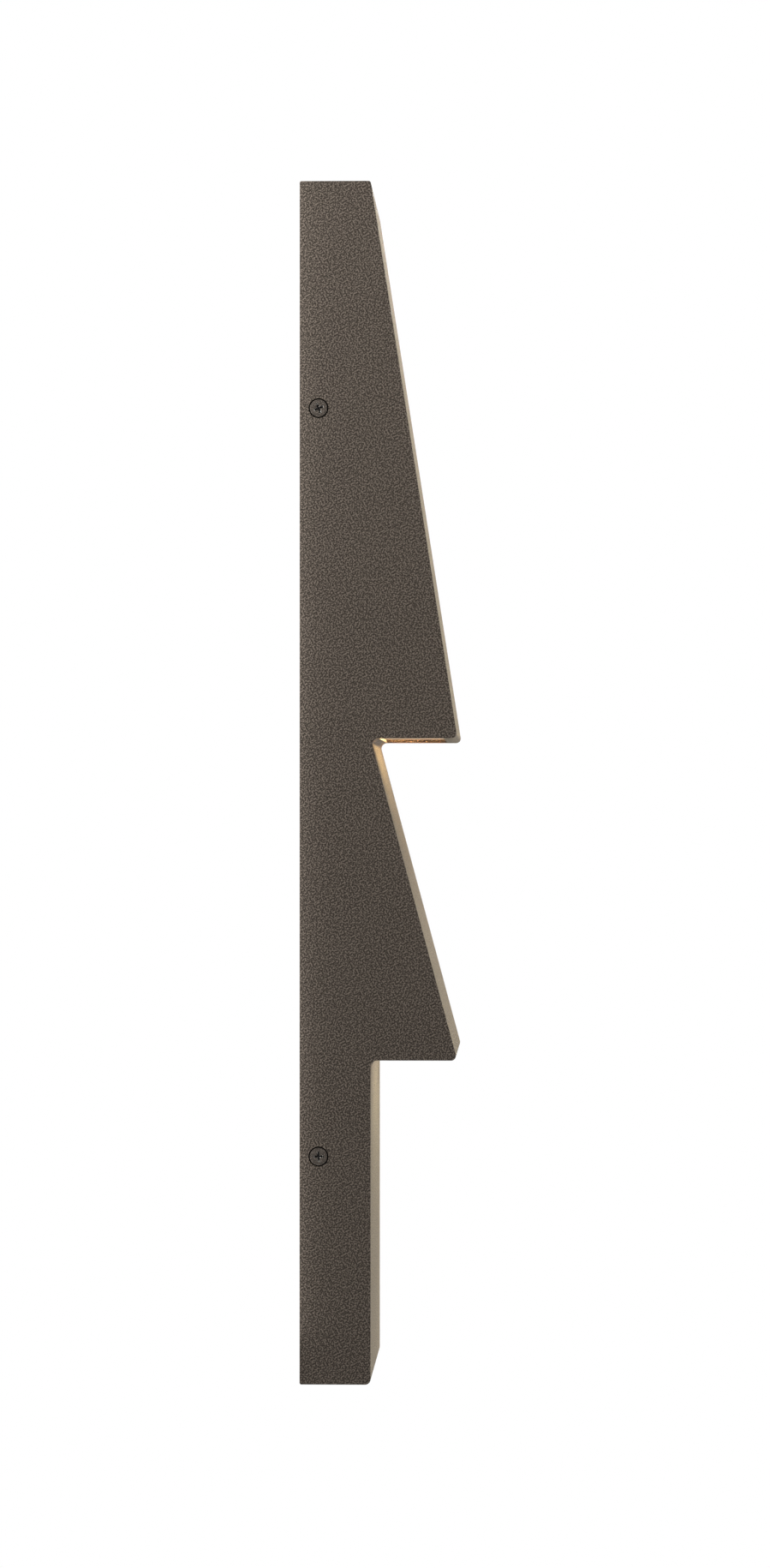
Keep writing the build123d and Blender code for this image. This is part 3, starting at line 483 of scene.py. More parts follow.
@dataclass(frozen=True)
class MouldedPlastic(Finish):
    """Moulded plastic or silicone with a spark-cut skin."""

    colour: Colour
    vary: float = 0.12
    scale: float = 1600.0
    depth: float = 0.08 * MM
    strength: float = 0.4
    rough: float = 0.45
    rough_range: Span = (-0.06, 0.08)
    cloud_scale: float = 90.0
    grain_share: float = 0.4

    def lay(self, desk: Desk) -> None:
        """Lay slightly uneven colour, gloss and skin.

        Args:
            desk: Where to lay the nodes.
        """
        grain = desk.effect(Effect.FINE_GRAIN, desk.place(), self.scale)
        cloud = desk.spread(desk.cloud(self.cloud_scale, detail=2.0), *SOFT_RANGE)
        shade = desk.weigh(cloud, grain["Mottle"], self.grain_share)
        darker = tuple(c * (1.0 - self.vary) for c in self.colour)
        lighter = tuple(min(1.0, c * (1.0 + self.vary * 0.5)) for c in self.colour)
        rough = (self.rough + change for change in self.rough_range)
        desk.drive({
            "Base Color": desk.blend(shade, darker, lighter),
            "Roughness": desk.spread(grain["Mottle"], 0.0, 1.0, *rough),
        })
        desk.relief(grain["Height"], self.depth, self.strength)


@dataclass(frozen=True)
class Insulation(MouldedPlastic):
    """Smooth drawn skin of a wire."""

    depth: float = 0.02 * MM
    rough: float = 0.35


@dataclass(frozen=True)
class ClosedFoam(Finish):
    """Closed-cell foam strip."""

    colour: Colour
    scale: float = 1150.0
    chalk: float = 2.6
    chalk_lift: float = 0.012
    cell_share: float = 0.5
    rough: Span = (0.75, 0.95)
    shine: float = 0.3
    depth: float = 0.5 * MM
    strength: float = 0.7

    def lay(self, desk: Desk) -> None:
        """Lay open skin cells and a dull chalky colour.

        Args:
            desk: Where to lay the nodes.
        """
        cells = desk.effect(Effect.PORES, desk.place(), self.scale)
        dull = tuple(c * self.chalk + self.chalk_lift for c in self.colour)
        shade = desk.weigh(cells["Mottle"], cells["Height"], self.cell_share)
        desk.drive({
            "Base Color": desk.blend(shade, self.colour, dull),
            "Roughness": desk.spread(cells["Height"], 0.0, 1.0, *self.rough),
            "Specular IOR Level": self.shine,
        })
        desk.relief(cells["Height"], self.depth, self.strength)


@dataclass(frozen=True)
class PouredResin(Finish):
    """Potting resin with a level gloss, slow swirls and a few pin bubbles."""

    colour: Colour
    pale: float = 1.7
    swirl_scale: float = 60.0
    swirl_range: Span = (0.35, 0.7)
    warp: float = 1.4
    rough: Span = (0.14, 0.26)
    pin_scale: float = 210.0
    pin_range: Span = (0.0, 0.12)
    pin_share: float = 0.2
    depth: float = 0.6 * MM
    strength: float = 0.35

    def lay(self, desk: Desk) -> None:
        """Lay swirled colour, near even gloss and pin bubbles.

        Args:
            desk: Where to lay the nodes.
        """
        swirl = desk.cloud(self.swirl_scale, detail=4.0, warp=self.warp)
        mask = desk.spread(swirl, *self.swirl_range)
        desk.drive({
            "Base Color": desk.blend(mask, self.colour, tuple(c * self.pale for c in self.colour)),
            "Roughness": desk.spread(mask, 0.0, 1.0, *self.rough),
        })
        pins = desk.effect(Effect.PORES, desk.place(), self.pin_scale)
        dots = desk.spread(pins["Height"], *self.pin_range)
        desk.relief(desk.weigh(swirl, dots, self.pin_share), self.depth, self.strength)


@dataclass(frozen=True)
class LitPlate(Finish):
    """Frosted plate or light package that glows, brighter under each light source of the row."""

    colour: Colour
    glow: Colour
    dim: Colour
    power: float
    pitch: float = 10.0 * MM
    rough: float = 0.45
    rough_rise: float = 0.1
    shine: float = 0.5
    scale: float = 2200.0
    shade: float = 0.94
    depth: float = 0.05 * MM
    strength: float = 0.4

    def lay(self, desk: Desk) -> None:
        """Lay frosted skin and a row of soft bright spots along the lamp's width.

        Args:
            desk: Where to lay the nodes.
        """
        grain = desk.effect(Effect.FINE_GRAIN, desk.place(), self.scale)
        shaded = tuple(c * self.shade for c in self.colour)
        across = desk.node("SeparateXYZ", {"Vector": desk.place()}).outputs["X"]
        wave = desk.sum("COSINE", desk.sum("MULTIPLY", across, 2.0 * math.pi / self.pitch))
        desk.drive({
            "Base Color": desk.blend(grain["Mottle"], shaded, self.colour),
            "Roughness": desk.spread(grain["Mottle"], 0.0, 1.0, self.rough, self.rough + self.rough_rise),
            "Specular IOR Level": self.shine,
            "Emission Color": desk.blend(desk.spread(wave, -1.0, 1.0), self.dim, self.glow),
            "Emission Strength": self.power,
        })
        desk.relief(grain["Height"], self.depth, self.strength)


FINISHES: tuple[Finish, ...] = (
    HousingCoat("bronze_coat", deep=(0.04, 0.033, 0.027), light=(0.148, 0.1215, 0.1), flake=(0.34, 0.3, 0.25),
                scale=1300.0, depth=0.4 * MM, strength=0.65, rough=(0.48, 0.66), flake_share=0.15, shine=0.06,
                dust=0.24),
    DrivenScrew("bronze_screw", deep=(0.04, 0.033, 0.027), light=(0.092, 0.076, 0.063),
                flake=(0.24, 0.21, 0.18), scale=1500.0, depth=0.1 * MM, strength=0.4, rough=(0.4, 0.55),
                shine=0.2),
    PlatedMetal("zinc_steel", (0.6, 0.61, 0.62), (0.63, 0.62, 0.6)),
    PlatedMetal("plain_aluminium", (0.78, 0.79, 0.8), (0.72, 0.73, 0.74), stretch=(0.05, 1, 1)),
    TurnedMetal("screw_steel", (0.58, 0.58, 0.57), (0.64, 0.61, 0.52)),
    TurnedMetal("brass_screw", (0.75, 0.55, 0.25), (0.68, 0.46, 0.18)),
    TurnedMetal("green_screw", (0.05, 0.32, 0.1), (0.08, 0.4, 0.12)),
    TurnedMetal("tinned_lug", (0.7, 0.7, 0.69), (0.62, 0.61, 0.58)),
    ClosedFoam("black_foam", (0.015, 0.014, 0.013)),
    MouldedPlastic("black_nylon", (0.026, 0.026, 0.028), vary=0.3, rough=0.4),
    MouldedPlastic("block_plastic", (0.8, 0.79, 0.75)),
    MouldedPlastic("connector_plastic", (0.85, 0.84, 0.8)),
    MouldedPlastic("driver_plastic", (0.7, 0.7, 0.68), scale=1300.0, depth=0.15 * MM, rough=0.5),
    MouldedPlastic("clear_silicone", (0.75, 0.74, 0.7), rough=0.3),
    MouldedPlastic("white_plastic", (0.9, 0.9, 0.88), vary=0.05, rough=0.6),
    MouldedPlastic("white_board", (0.86, 0.87, 0.85), vary=0.05, rough=0.3),
    Insulation("green_insulation", (0.05, 0.35, 0.09)),
    Insulation("brown_insulation", (0.16, 0.07, 0.035)),
    Insulation("blue_insulation", (0.06, 0.16, 0.5)),
    Insulation("red_insulation", (0.55, 0.03, 0.03)),
    Insulation("black_insulation", (0.02, 0.02, 0.02), vary=0.3),
    PouredResin("grey_resin", (0.075, 0.076, 0.08)),
    LitPlate("frosted_lens", colour=(0.36, 0.33, 0.28), glow=(0.95, 0.64, 0.35), dim=(0.85, 0.54, 0.27),
             power=0.46, rough=0.85, shine=0.1),
    LitPlate("led_package", colour=(0.92, 0.85, 0.6), glow=(1.0, 0.78, 0.45), dim=(0.95, 0.72, 0.4),
             power=1.5),
)


class Paintbox:
    """All finishes, ready to put on pieces."""

    def __init__(self) -> None:
        """Make every finish once, in place of the plain ones that came with the frame."""
        for plain in list(bpy.data.materials):
            plain.name = "plain_" + plain.name
        self.ready = {finish.slot: finish.make() for finish in FINISHES}

    def dress_frame(self) -> None:
        """Put each node's finish on it."""
        for row in frame["record"]["subparts"]:
            node = frame["nodes"][row["node"]]
            for place in node.material_slots:
                place.material = self.ready[row["material_slot"]]
            LOG.info("dressed %s in %s", row["node"], row["material_slot"])

    def dress(self, piece: bpy.types.Object, slot: str, node: str) -> None:
        """Dress a new piece, hang it on the lamp and let it stand for its node.

        Args:
            piece: The new piece.
            slot: Its material slot.
            node: The node that it stands for.
        """
        piece.data.materials.clear()
        piece.data.materials.append(self.ready[slot])
        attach(piece, "root")
        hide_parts(node)
        LOG.info("made %s in %s", piece.name, slot)


def piece_from(name: str, shape: Shape, crease: float = 35.0) -> bpy.types.Object:
    """Turn a finished shape into a piece at the origin.

    Args:
        name: The piece's name.
        shape: Its shape in metres, which is used up.
        crease: Edges that turn more than this many degrees stay sharp.

    Returns:
        The piece.
    """
    bmesh.ops.remove_doubles(shape, verts=shape.verts[:], dist=1e-7)
    bmesh.ops.recalc_face_normals(shape, faces=shape.faces[:])
    mesh = bpy.data.meshes.new(name)
    shape.to_mesh(mesh)
    shape.free()
    mesh.shade_smooth()
    mesh.set_sharp_from_angle(angle=math.radians(crease))
    piece = bpy.data.objects.new(name, mesh)
    bpy.context.scene.collection.objects.link(piece)
    return piece


def draw_rim(shape: Shape) -> list[bmesh.types.BMVert]:
    """Draw a new ring of wall out of a shape's open edge and give its corners, not yet moved."""
    drawn = bmesh.ops.extrude_edge_only(shape, edges=[e for e in shape.edges if e.is_boundary])["geom"]
    return [v for v in drawn if isinstance(v, bmesh.types.BMVert)]


@dataclass
class CrossScrew:
    """A screw with a tapered cross recess, built head up with its top at height zero."""

    style: HeadStyle
    head_r: float
    shank_r: float
    length: float
    span: float
    width: float
    sink: float
    pitch: float
    segments: int = 40
    flat_share: float = 0.72
    pan_height: float = 0.68
    pan_rise: float = 0.62
    pan_steps: int = 6
    edge_break: float = 0.3
    sunk_rim: float = 0.6 * MM
    core_share: float = 0.86
    core_run: Span = (0.4 * MM, 0.8 * MM)
    tip_share: float = 0.75
    taper: float = 0.62
    lip: float = 0.07 * MM
    root_share: float = 0.84
    ridge_share: float = 0.42
    thread_end: float = 1.2 * MM
    turn_steps: int = 16

    @property
    def flat_r(self) -> float:
        """Radius of the flat top."""
        return self.head_r * self.flat_share

    def build(self) -> Shape:
        """Shape the screw.

        Returns:
            The shape, with its axis on Z.
        """
        shape = bmesh.new()
        bmesh.ops.create_circle(shape, cap_ends=True, radius=self.flat_r, segments=self.segments)
        self.press_recess(shape)
        for radius, drop in self.outline():
            self.carry_down(shape, radius, drop)
        rim = [e for e in shape.edges if e.is_boundary]
        bmesh.ops.contextual_create(shape, geom=rim)
        self.wind_thread(shape)
        return shape

    def outline(self) -> list[tuple[float, float]]:
        """Radius and depth of each ring below the flat top.

        Returns:
            Rings from the head's edge to the tip.
        """
        edge = self.head_r - self.flat_r
        if self.style is HeadStyle.SUNK:
            broken = self.edge_break * edge
            neck = self.sunk_rim + self.head_r - self.shank_r
            rings = [(self.head_r - broken, broken), (self.head_r, edge), (self.head_r, self.sunk_rim),
                     (self.shank_r, neck)]
            tip = self.length
        else:
            neck = self.pan_height * self.head_r
            rise = neck * self.pan_rise
            turns = [math.radians(90.0 * step / self.pan_steps) for step in range(1, self.pan_steps + 1)]
            rings = [(self.flat_r + edge * math.sin(turn), rise * (1.0 - math.cos(turn))) for turn in turns]
            rings += [(self.head_r, neck), (self.shank_r, neck)]
            tip = self.length + neck
        core = self.shank_r * self.core_share
        above, below = self.core_run
        return rings + [(core, neck + above), (core, tip - below), (core * self.tip_share, tip)]

    def press_recess(self, shape: Shape) -> None:
        """Press the tapered cross into the flat top.

        Args:
            shape: The flat top, which is changed.
        """
        half, reach = self.width / 2, self.span / 2
        for axis in (Vector((1, 0, 0)), Vector((0, 1, 0))):
            for offset in (-reach, -half, half, reach):
                bmesh.ops.bisect_plane(shape, geom=shape.verts[:] + shape.edges[:] + shape.faces[:],
                                       plane_co=axis * offset, plane_no=axis)
        arms = []
        for face in shape.faces:
            middle = face.calc_center_median()
            near, far = sorted((abs(middle.x), abs(middle.y)))
            if near < half and far < reach:
                arms.append(face)
        pushed = bmesh.ops.extrude_face_region(shape, geom=arms)["geom"]
        bmesh.ops.delete(shape, geom=[f for f in arms if f.is_valid], context="FACES_ONLY")
        low = [v for v in pushed if isinstance(v, bmesh.types.BMVert)]
        bmesh.ops.translate(shape, verts=low, vec=(0, 0, -self.sink))
        bmesh.ops.scale(shape, verts=low, vec=(self.taper, self.taper, 1.0))
        lips = [e for e in shape.edges
                if all(abs(v.co.z) < TINY for v in e.verts)
                and any(abs(f.calc_center_median().z) > TINY for f in e.link_faces)]
        bmesh.ops.bevel(shape, geom=lips, offset=self.lip, segments=2, profile=0.5, affect="EDGES",
                        material=-1)

    @staticmethod
    def carry_down(shape: Shape, radius: float, drop: float) -> None:
        """Draw the open edge down to a ring of a given radius and depth.

        Args:
            shape: The shape, which is changed.
            radius: The ring's radius.
            drop: Its depth below the flat top.
        """
        moved = draw_rim(shape)
        now = max(v.co.xy.length for v in moved)
        bmesh.ops.scale(shape, verts=moved, vec=(radius / now, radius / now, 1.0))
        bmesh.ops.translate(shape, verts=moved, vec=(0, 0, -drop - moved[0].co.z))

    def wind_thread(self, shape: Shape) -> None:
        """Wind a ridge round the shank.

        Args:
            shape: The shape, which is changed.
        """
        root = self.shank_r * self.root_share
        top = -max(drop for radius, drop in self.outline() if radius >= self.shank_r) - self.pitch
        bottom = min(v.co.z for v in shape.verts) + self.thread_end
        turns = max(1, int((top - bottom) / self.pitch))
        half = self.ridge_share * self.pitch
        corners = ((root, 0, top + half), (self.shank_r, 0, top), (root, 0, top - half))
        ridge = [shape.verts.new(corner) for corner in corners]
        edges = [shape.edges.new((ridge[i], ridge[(i + 1) % 3])) for i in range(3)]
        bmesh.ops.spin(shape, geom=ridge + edges, cent=(0, 0, 0), axis=(0, 0, 1), angle=2 * math.pi * turns,
                       steps=self.turn_steps * turns, dvec=(0, 0, -self.pitch / self.turn_steps),
                       space=Matrix.Identity(4))
        ends = [e for e in shape.edges if e.is_boundary]
        bmesh.ops.holes_fill(shape, edges=ends, sides=3)

    def piece(self, name: str, places: list[Matrix]) -> bpy.types.Object:
        """Set copies of the screw at their places as one piece.

        Args:
            name: The piece's name.
            places: Where each screw's flat top goes, with the head facing local up.

        Returns:
            The piece.
        """
        whole = bmesh.new()
        for place in places:
            single = self.build()
            bmesh.ops.transform(single, matrix=place, verts=single.verts[:])
            carrier = bpy.data.meshes.new("screw")
            single.to_mesh(carrier)
            single.free()
            whole.from_mesh(carrier)
            bpy.data.meshes.remove(carrier)
        return piece_from(name, whole)


def facing(spot: Point, direction: Point, turn: float) -> Matrix:
    """Place at a spot whose local up looks along a direction, turned about it by degrees."""
    tilt = Vector((0, 0, 1)).rotation_difference(Vector(direction)).to_matrix().to_4x4()
    return Matrix.Translation(Vector(spot)) @ tilt @ Matrix.Rotation(math.radians(turn), 4, "Z")


@dataclass
class Fasteners:
    """Screws that show: four in the sides of the housing and the small ones inside."""

    paints: Paintbox
    sink: float = 0.1 * MM
    side_turns: tuple[tuple[int, int, float], ...] = (
        (-1, 1, 22.0), (-1, -1, 3.0), (1, 1, 38.0), (1, -1, 64.0))
    first_turn: float = 17.0
    screw_step: float = 31.0
    set_step: float = 23.0
    sets: tuple[tuple[str, Point, float], ...] = (
        ("driver_screws", (0, 1, 0), 6.0 * MM), ("upper_bracket_screws", (0, 1, 0), 6.0 * MM),
        ("lower_bracket_screws", (0, 1, 0), 6.0 * MM), ("upper_board_screws", (0, 0, -1), 5.0 * MM),
        ("lower_board_screws", (0, 0, -1), 5.0 * MM), ("terminal_fixings", (0, -1, 0), 6.3 * MM))

    def build(self) -> None:
        """Make every kind of screw."""
        self.side_screws()
        self.small_screws()

    def side_screws(self) -> None:
        """Countersunk screws flush with the sides."""
        screw = CrossScrew(HeadStyle.SUNK, head_r=4.5 * MM, shank_r=2.5 * MM, length=15.8 * MM, span=5.3 * MM,
                           width=1.2 * MM, sink=2.3 * MM, pitch=0.8 * MM, flat_share=0.95)
        face = SIDE_SCREWS.face - self.sink
        places = [facing((side * face, -SIDE_SCREWS.out, end * SIDE_SCREWS.up), (side, 0, 0), turn)
                  for side, end, turn in self.side_turns]
        self.paints.dress(screw.piece("side_screw_set", places), "bronze_screw", "side_screws")

    def small_screws(self) -> None:
        """Pairs of pan head screws, one screw at each end of the node."""
        for order, (node, direction, length) in enumerate(self.sets):
            screw = CrossScrew(HeadStyle.PAN, head_r=2.8 * MM, shank_r=1.5 * MM, length=length, span=3.3 * MM,
                               width=0.8 * MM, sink=1.1 * MM, pitch=0.5 * MM, segments=32)
            low, high = (Vector(corner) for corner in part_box(node))
            top = (low + high) / 2
            for axis in range(3):
                if direction[axis]:
                    top[axis] = high[axis] if direction[axis] > 0 else low[axis]
            turn = self.first_turn + self.set_step * order
            places = [facing((x, top.y, top.z), direction, turn + self.screw_step * index)
                      for index, x in enumerate((low.x + screw.head_r, high.x - screw.head_r))]
            self.paints.dress(screw.piece(node.removesuffix("s") + "_set", places), "screw_steel", node)


@dataclass
class RimSeal:
    """Foam strips inside the back rim, laid by hand."""

    paints: Paintbox
    outer: Point = (73.0 * MM, 302.0 * MM, 5.0 * MM)
    width: float = 6.0 * MM
    tab_gap: float = 16.0 * MM
    round_edge: float = 0.9 * MM
    long_run: float = 20.0 * MM
    cuts: int = 24
    waver: float = 0.18 * MM
    waver_scale: float = 90.0

    def strips(self) -> list[tuple[float, float, float, float]]:
        """Strips along the rim, stopped at the tabs.

        Returns:
            Low x, high x, low z and high z of each.
        """
        half, top, _ = self.outer
        tab = SIDE_SCREWS.up
        rows = [(-half, half, -top, -top + self.width), (-half, half, top - self.width, top)]
        stops = [-top + self.width, -tab - self.tab_gap, -tab + self.tab_gap,
                 tab - self.tab_gap, tab + self.tab_gap, top - self.width]
        for low, high in zip(stops[0::2], stops[1::2]):
            rows += [(half - self.width, half, low, high), (-half, -half + self.width, low, high)]
        return rows

    def build(self) -> None:
        """Make the strips with rounded edges and a slight waver along their length."""
        shape = bmesh.new()
        depth = self.outer[2]
        for x0, x1, z0, z1 in self.strips():
            made = bmesh.ops.create_cube(shape, size=1.0)["verts"]
            bmesh.ops.scale(shape, verts=made, vec=(x1 - x0, depth, z1 - z0))
            bmesh.ops.translate(shape, verts=made, vec=((x0 + x1) / 2, -depth / 2, (z0 + z1) / 2))
            edges = list({e for v in made for e in v.link_edges})
            bmesh.ops.bevel(shape, geom=edges, offset=self.round_edge, segments=3, profile=0.5,
                            affect="EDGES", material=-1)
        runs = [e for e in shape.edges if e.calc_length() > self.long_run]
        bmesh.ops.subdivide_edges(shape, edges=runs, cuts=self.cuts, use_grid_fill=True)
        for vert in shape.verts:
            lift = self.waver * (1.0 + noise.noise(vert.co * self.waver_scale))
            toward = -depth / 2 - vert.co.y
            if abs(toward) > TINY:
                vert.co.y += math.copysign(lift, toward)
        piece = piece_from("rim_foam", shape, crease=60.0)
        self.paints.dress(piece, "black_foam", "rim_seal")


@dataclass
class Potting:
    """Resin poured into the driver tray, drawn up a little where it wets the walls."""

    paints: Paintbox
    creep: float = 0.55 * MM
    fade: float = 1.3 * MM
    cells: tuple[int, int] = (64, 28)
    crowding: float = 1.6

    def build(self) -> None:
        """Make the resin with its raised rim, its cells crowded towards the walls."""
        low, high = (Vector(corner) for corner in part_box("driver_potting"))
        size, middle = high - low, (high + low) / 2
        halves = (size.x / 2, size.z / 2)
        shape = bmesh.new()
        bmesh.ops.create_grid(shape, x_segments=self.cells[0], y_segments=self.cells[1], size=0.5)
        bmesh.ops.scale(shape, verts=shape.verts[:], vec=(size.x, size.z, 1.0))
        for vert in shape.verts:
            for axis, half in enumerate(halves):
                crowded = half - half * (1.0 - abs(vert.co[axis]) / half) ** self.crowding
                vert.co[axis] = math.copysign(crowded, vert.co[axis])
            edge = min(half - abs(vert.co[axis]) for axis, half in enumerate(halves))
            vert.co.z = self.creep * math.exp(-max(edge, 0.0) / self.fade)
        for vert in draw_rim(shape):
            vert.co.z = -size.y
        bmesh.ops.holes_fill(shape, edges=[e for e in shape.edges if e.is_boundary], sides=0)
        turn = Matrix.Translation((middle.x, high.y, middle.z)) @ Matrix.Rotation(math.radians(-90), 4, "X")
        bmesh.ops.transform(shape, matrix=turn, verts=shape.verts[:])
        self.paints.dress(piece_from("driver_resin", shape), "grey_resin", "driver_potting")


@dataclass(frozen=True)
class Lead:
    """One insulated wire, from piece to piece along its route in millimetres across, out and up."""

    node: str
    slot: str
    route: tuple[Point, ...]


@dataclass
class Wiring:
    """Leads between the terminal block, the driver and the two light boards."""

    paints: Paintbox
    radius: float = 0.9 * MM
    round_steps: int = 4
    run_steps: int = 10
    block_leads: tuple[Lead, ...] = (
        Lead("live_lead", "brown_insulation", (
            (-45, 7.5, -66), (-45, 7.5, -86), (-45, 7.5, -104), (-57, 15.7, -104), (-69, 24, -104),
            (-69, 24, -122), (-69, 24, -212), (-69, 24, -230.5), (-58, 24, -230.5), (-47, 24, -230.5))),
        Lead("neutral_lead", "blue_insulation", (
            (-35, 7.5, -66), (-35, 7.5, -88), (-35, 7.5, -107), (-50, 15.5, -107), (-66, 24, -107),
            (-66, 24, -125), (-66, 24, -210), (-66, 24, -227.5), (-57, 24, -227.5), (-47, 24, -227.5))),
        Lead("earth_lead", "green_insulation", (
            (-25, 7.5, -66), (-25, 7.5, -80.8), (-8, 5.6, -80.8), (10, 3.8, -80.8), (10, 3.8, -96.6))),
    )
    boards: tuple[tuple[str, float, float, float, float], ...] = (
        ("upper", 21, 21, 38.8, 50.5), ("lower", 26, -140, -124.5, 46))
    pair: tuple[tuple[str, float, float], ...] = (("red", 66, -227.5), ("black", 69, -230.5))
    driver_end: float = 47
    rising: float = -208
    bend: float = 37

    def board_leads(self) -> list[Lead]:
        """Leads from the driver up the side wall and over to the light boards.

        Returns:
            The red and the black one of each tier.
        """
        leads = []
        for tier, out, climbed, level, end in self.boards:
            for tint, x, z in self.pair:
                climb = [(x, out, stop) for stop in (z, self.rising, climbed, level)]
                route = ((self.driver_end, out, z), *climb, (x, self.bend, level), (x, end, level))
                leads.append(Lead(f"{tier}_lead_{tint}", f"{tint}_insulation", route))
        return leads

    def build(self) -> None:
        """Make every lead as one smooth round wire."""
        for lead in (*self.block_leads, *self.board_leads()):
            line = bpy.data.curves.new(lead.node + "_wire", "CURVE")
            line.dimensions = "3D"
            line.bevel_depth = self.radius
            line.bevel_resolution = self.round_steps
            line.resolution_u = self.run_steps
            line.use_fill_caps = True
            run = line.splines.new("NURBS")
            run.points.add(len(lead.route) - 1)
            for point, (x, p, z) in zip(run.points, lead.route):
                point.co = (x * MM, -p * MM, z * MM, 1.0)
            run.order_u = 3
            run.use_endpoint_u = True
            piece = bpy.data.objects.new(lead.node + "_wire", line)
            bpy.context.scene.collection.objects.link(piece)
            self.paints.dress(piece, lead.slot, lead.node)


@dataclass(frozen=True)
class FlatLight:
    """A flat light aimed at a point, square unless its height is given."""

    name: str
    spot: Point
    aim: Point
    size: float
    watts: float
    tall: float = 0.0
    colour: Colour = (1.0, 1.0, 1.0)
    spread: float = 180.0

    def build(self) -> bpy.types.Object:
        """Hang the light.

        Returns:
            The light.
        """
        lamp = bpy.data.lights.new(self.name, "AREA")
        lamp.shape = "RECTANGLE"
        lamp.size, lamp.size_y = self.size, self.tall or self.size
        lamp.energy = self.watts
        lamp.color = self.colour
        lamp.spread = math.radians(self.spread)
        light = bpy.data.objects.new(self.name, lamp)
        light.location = self.spot
        light.rotation_euler = (Vector(self.aim) - Vector(self.spot)).to_track_quat("-Z", "Y").to_euler()
        light.visible_camera = light.visible_glossy = False
        bpy.context.scene.collection.objects.link(light)
        return light


@dataclass(frozen=True)
class SlotRow:
    """Place, slope in degrees and colour of a row of light that shines down out of a slot."""

    name: str
    setback: float
    rise: float
    tilt: float
    colour: Colour


@dataclass(frozen=True)
class SlotLight:
    """A tier's own light: the power of each row and of each end wall of the slot."""

    tier: str
    row_watts: Span
    end_watts: float
    rows: tuple[SlotRow, ...] = (SlotRow("near", 3.2 * MM, 0.0, 80.0, (1.0, 0.74, 0.43)),
                                 SlotRow("far", 12.0 * MM, 8.0 * MM, 60.0, (0.98, 0.97, 0.92)))
    row_margin: float = 20.0 * MM
    end_inset: float = 24.0 * MM
    end_margin: float = 8.0 * MM
    end_colour: Colour = (1.0, 0.5, 0.18)
    end_spread: float = 80.0
    lens_gap: float = 0.35 * MM
    height: float = 0.3 * MM

    def build(self, lit: bpy.types.Collection) -> None:
        """Hang the tier's lights.

        Args:
            lit: The pieces that they light, which alone can shade them.
        """
        for flat in self.lights():
            light = flat.build()
            light.light_linking.receiver_collection = lit
            light.light_linking.blocker_collection = lit
        frame["nodes"][self.tier + "_lens"].visible_diffuse = False

    def lights(self) -> list[FlatLight]:
        """Lights under the tier's lens.

        Returns:
            The rows, then the lights on the end walls.
        """
        low, high = (Vector(corner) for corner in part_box(self.tier + "_lens"))
        middle = (low + high) / 2
        level = low.z - self.lens_gap
        wide = high.x - low.x - self.row_margin
        lights = []
        for row, watts in zip(self.rows, self.row_watts):
            tilt = math.radians(row.tilt)
            spot = Vector((middle.x, high.y - row.setback, level + row.rise))
            aim = spot + Vector((0.0, math.cos(tilt), -math.sin(tilt)))
            lights.append(FlatLight(f"{self.tier}_{row.name}", spot, aim, wide, watts, self.height,
                                    row.colour))
        for name, side in (("left", -1), ("right", 1)):
            spot = Vector((middle.x + side * (high.x - middle.x - self.end_inset), middle.y, level))
            lights.append(FlatLight(f"{self.tier}_{name}_end", spot, spot + Vector((side, 0, 0)),
                                    high.y - low.y - self.end_margin, self.end_watts, self.height,
                                    self.end_colour, self.end_spread))
        return lights


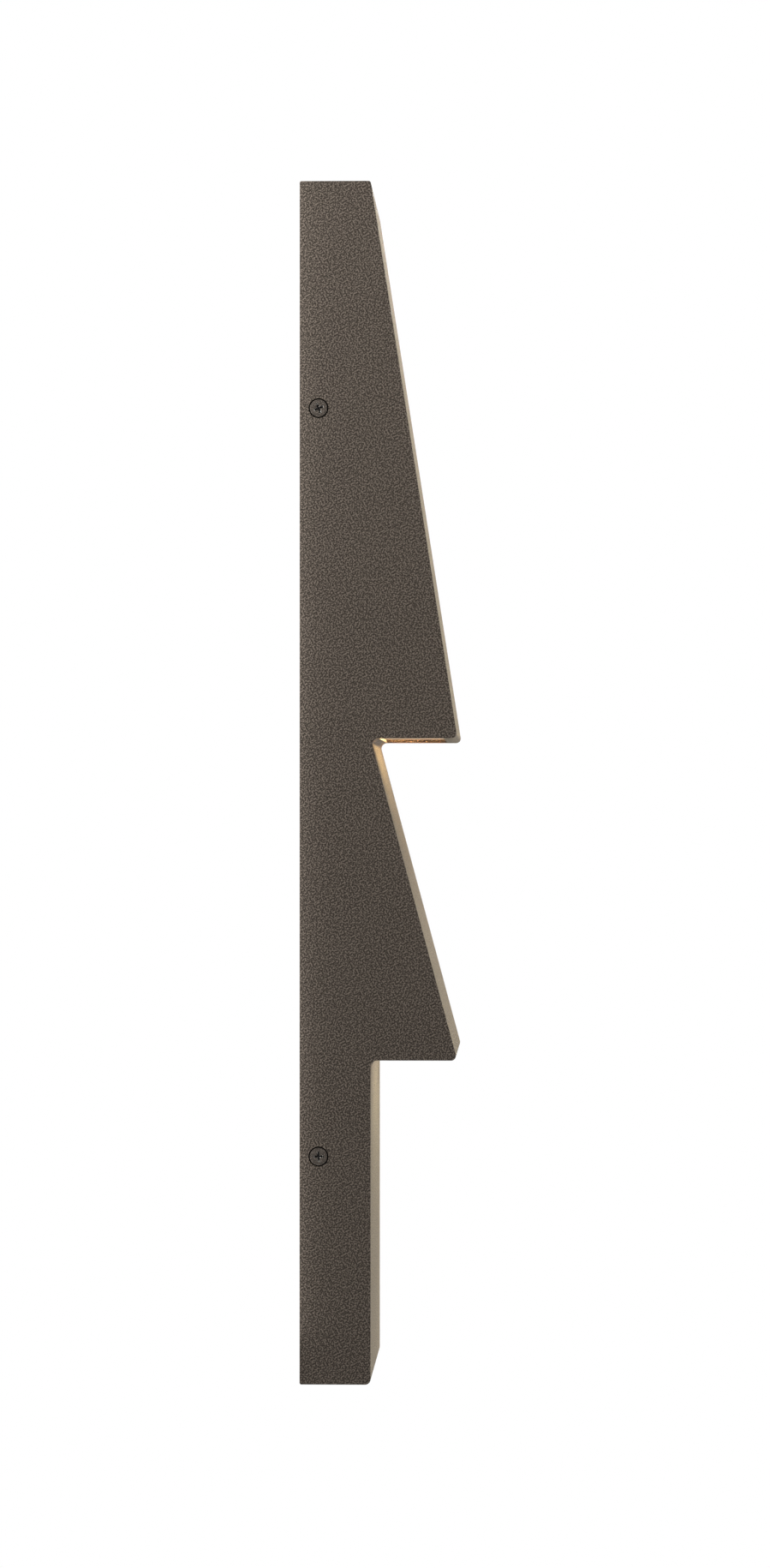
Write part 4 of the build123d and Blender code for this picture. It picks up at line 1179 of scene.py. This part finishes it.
@dataclass
class Studio:
    """White surroundings, soft lights, the lamp's own light, a pale floor and the camera."""

    sky: float = 0.34
    ground: float = 0.26
    floor_level: float = -1.05
    floor_radius: float = 2.2
    floor_sides: int = 96
    floor_colour: Colour = (0.9, 0.9, 0.9)
    fade_start: float = 0.25
    camera_spot: Point = (-2.4596, -0.1151, -0.0213)
    camera_yaw: float = 0.0301
    camera_pitch: float = 0.00853
    lens: float = 108.1
    sensor: float = 36.0
    nearest: float = 0.05
    slots: tuple[SlotLight, ...] = (SlotLight("upper", (0.031, 0.006), 0.008),
                                    SlotLight("lower", (0.002, 0.046), 0.0025))
    boxes: tuple[FlatLight, ...] = (
        FlatLight("key_box", (-0.55, 0.38, 0.62), (-0.076, -0.02, 0.2), 0.35, 6.4),
        FlatLight("front_box", (0.6, -2.2, 0.1), (0.0, -0.05, 0.0), 1.1, 48.0),
        FlatLight("right_box", (1.2, -0.6, 0.8), (0.05, -0.03, 0.25), 0.6, 5.4),
        FlatLight("top_box", (0.22, -0.19, 0.4), (0.06, -0.05, 0.22), 0.14, 3.6),
        FlatLight("wall_bounce", (-0.082, 0.006, 0.03), (-0.075, 0.0, 0.03), 0.005, 0.034, tall=0.62),
        FlatLight("low_box", (1.3, -0.7, -0.7), (0.05, -0.06, -0.05), 0.5, 5.4),
        FlatLight("back_box", (-0.9, 1.9, 1.0), (0.0, 0.0, 0.0), 0.9, 26.0),
    )

    def build(self) -> None:
        """Set up everything round the lamp."""
        self.surroundings()
        for box in self.boxes:
            box.build()
        lit = bpy.data.collections.new("lit_by_slots")
        lit.objects.link(frame["nodes"]["housing"])
        for slot in self.slots:
            slot.build(lit)
        self.floor()
        self.camera()

    def surroundings(self) -> None:
        """White to the eye and in reflections, softer as light."""
        scene = bpy.context.scene
        scene.view_settings.view_transform = "Standard"
        world = bpy.data.worlds.new("white_room")
        world.use_nodes = True
        desk = Desk(world.node_tree)
        rays = desk.node("LightPath").outputs
        seen = desk.sum("MAXIMUM", desk.sum("MAXIMUM", rays["Is Camera Ray"], rays["Is Glossy Ray"]),
                        rays["Is Transmission Ray"])
        up = desk.node("SeparateXYZ", {"Vector": desk.node("TexCoord").outputs["Generated"]}).outputs["Z"]
        soft = desk.spread(up, -1.0, 1.0, self.ground, self.sky)
        strength = desk.node("MapRange", {"Value": seen, "To Min": soft, "To Max": 1.0}).outputs["Result"]
        shell = desk.node("Background", {"Color": (1.0, 1.0, 1.0, 1.0), "Strength": strength})
        desk.node("OutputWorld", {"Surface": shell.outputs[0]})
        scene.world = world

    def floor(self) -> None:
        """Pale round floor well below the lamp that fades into the white."""
        shape = bmesh.new()
        bmesh.ops.create_circle(shape, cap_ends=True, radius=self.floor_radius, segments=self.floor_sides)
        bmesh.ops.translate(shape, verts=shape.verts[:], vec=(0, 0, self.floor_level))
        piece = piece_from("pale_floor", shape)
        material = bpy.data.materials.new("pale_floor")
        material.use_nodes = True
        desk = Desk(material.node_tree)
        paint = desk.node("BsdfDiffuse", {"Color": (*self.floor_colour, 1.0)})
        clear = desk.node("BsdfTransparent")
        flat = desk.node("VectorMath", {0: desk.place((1, 1, 0))}, operation="LENGTH").outputs["Value"]
        fade = desk.spread(flat, self.fade_start * self.floor_radius, self.floor_radius)
        mixed = desk.node("MixShader", {0: fade, 1: paint.outputs[0], 2: clear.outputs[0]})
        desk.node("OutputMaterial", {"Surface": mixed.outputs[0]})
        piece.data.materials.append(material)

    def camera(self) -> None:
        """Camera at the photograph's place, looking across the lamp at its side."""
        view = bpy.data.cameras.new("side_view")
        view.lens = self.lens
        view.sensor_width = self.sensor
        view.clip_start = self.nearest
        eye = bpy.data.objects.new("side_view", view)
        eye.location = self.camera_spot
        level = math.cos(self.camera_pitch)
        ahead = Vector((level * math.cos(self.camera_yaw), level * math.sin(self.camera_yaw),
                        math.sin(self.camera_pitch)))
        eye.rotation_euler = ahead.to_track_quat("-Z", "Y").to_euler()
        bpy.context.scene.collection.objects.link(eye)
        bpy.context.scene.camera = eye


def main() -> None:
    """Build the lamp's dress and its studio in order."""
    logging.basicConfig(level=logging.INFO, format="%(name)s: %(message)s")
    Studio().build()
    paints = Paintbox()
    paints.dress_frame()
    Wiring(paints).build()
    Fasteners(paints).build()
    RimSeal(paints).build()
    Potting(paints).build()


if __name__ == "__main__":
    main()
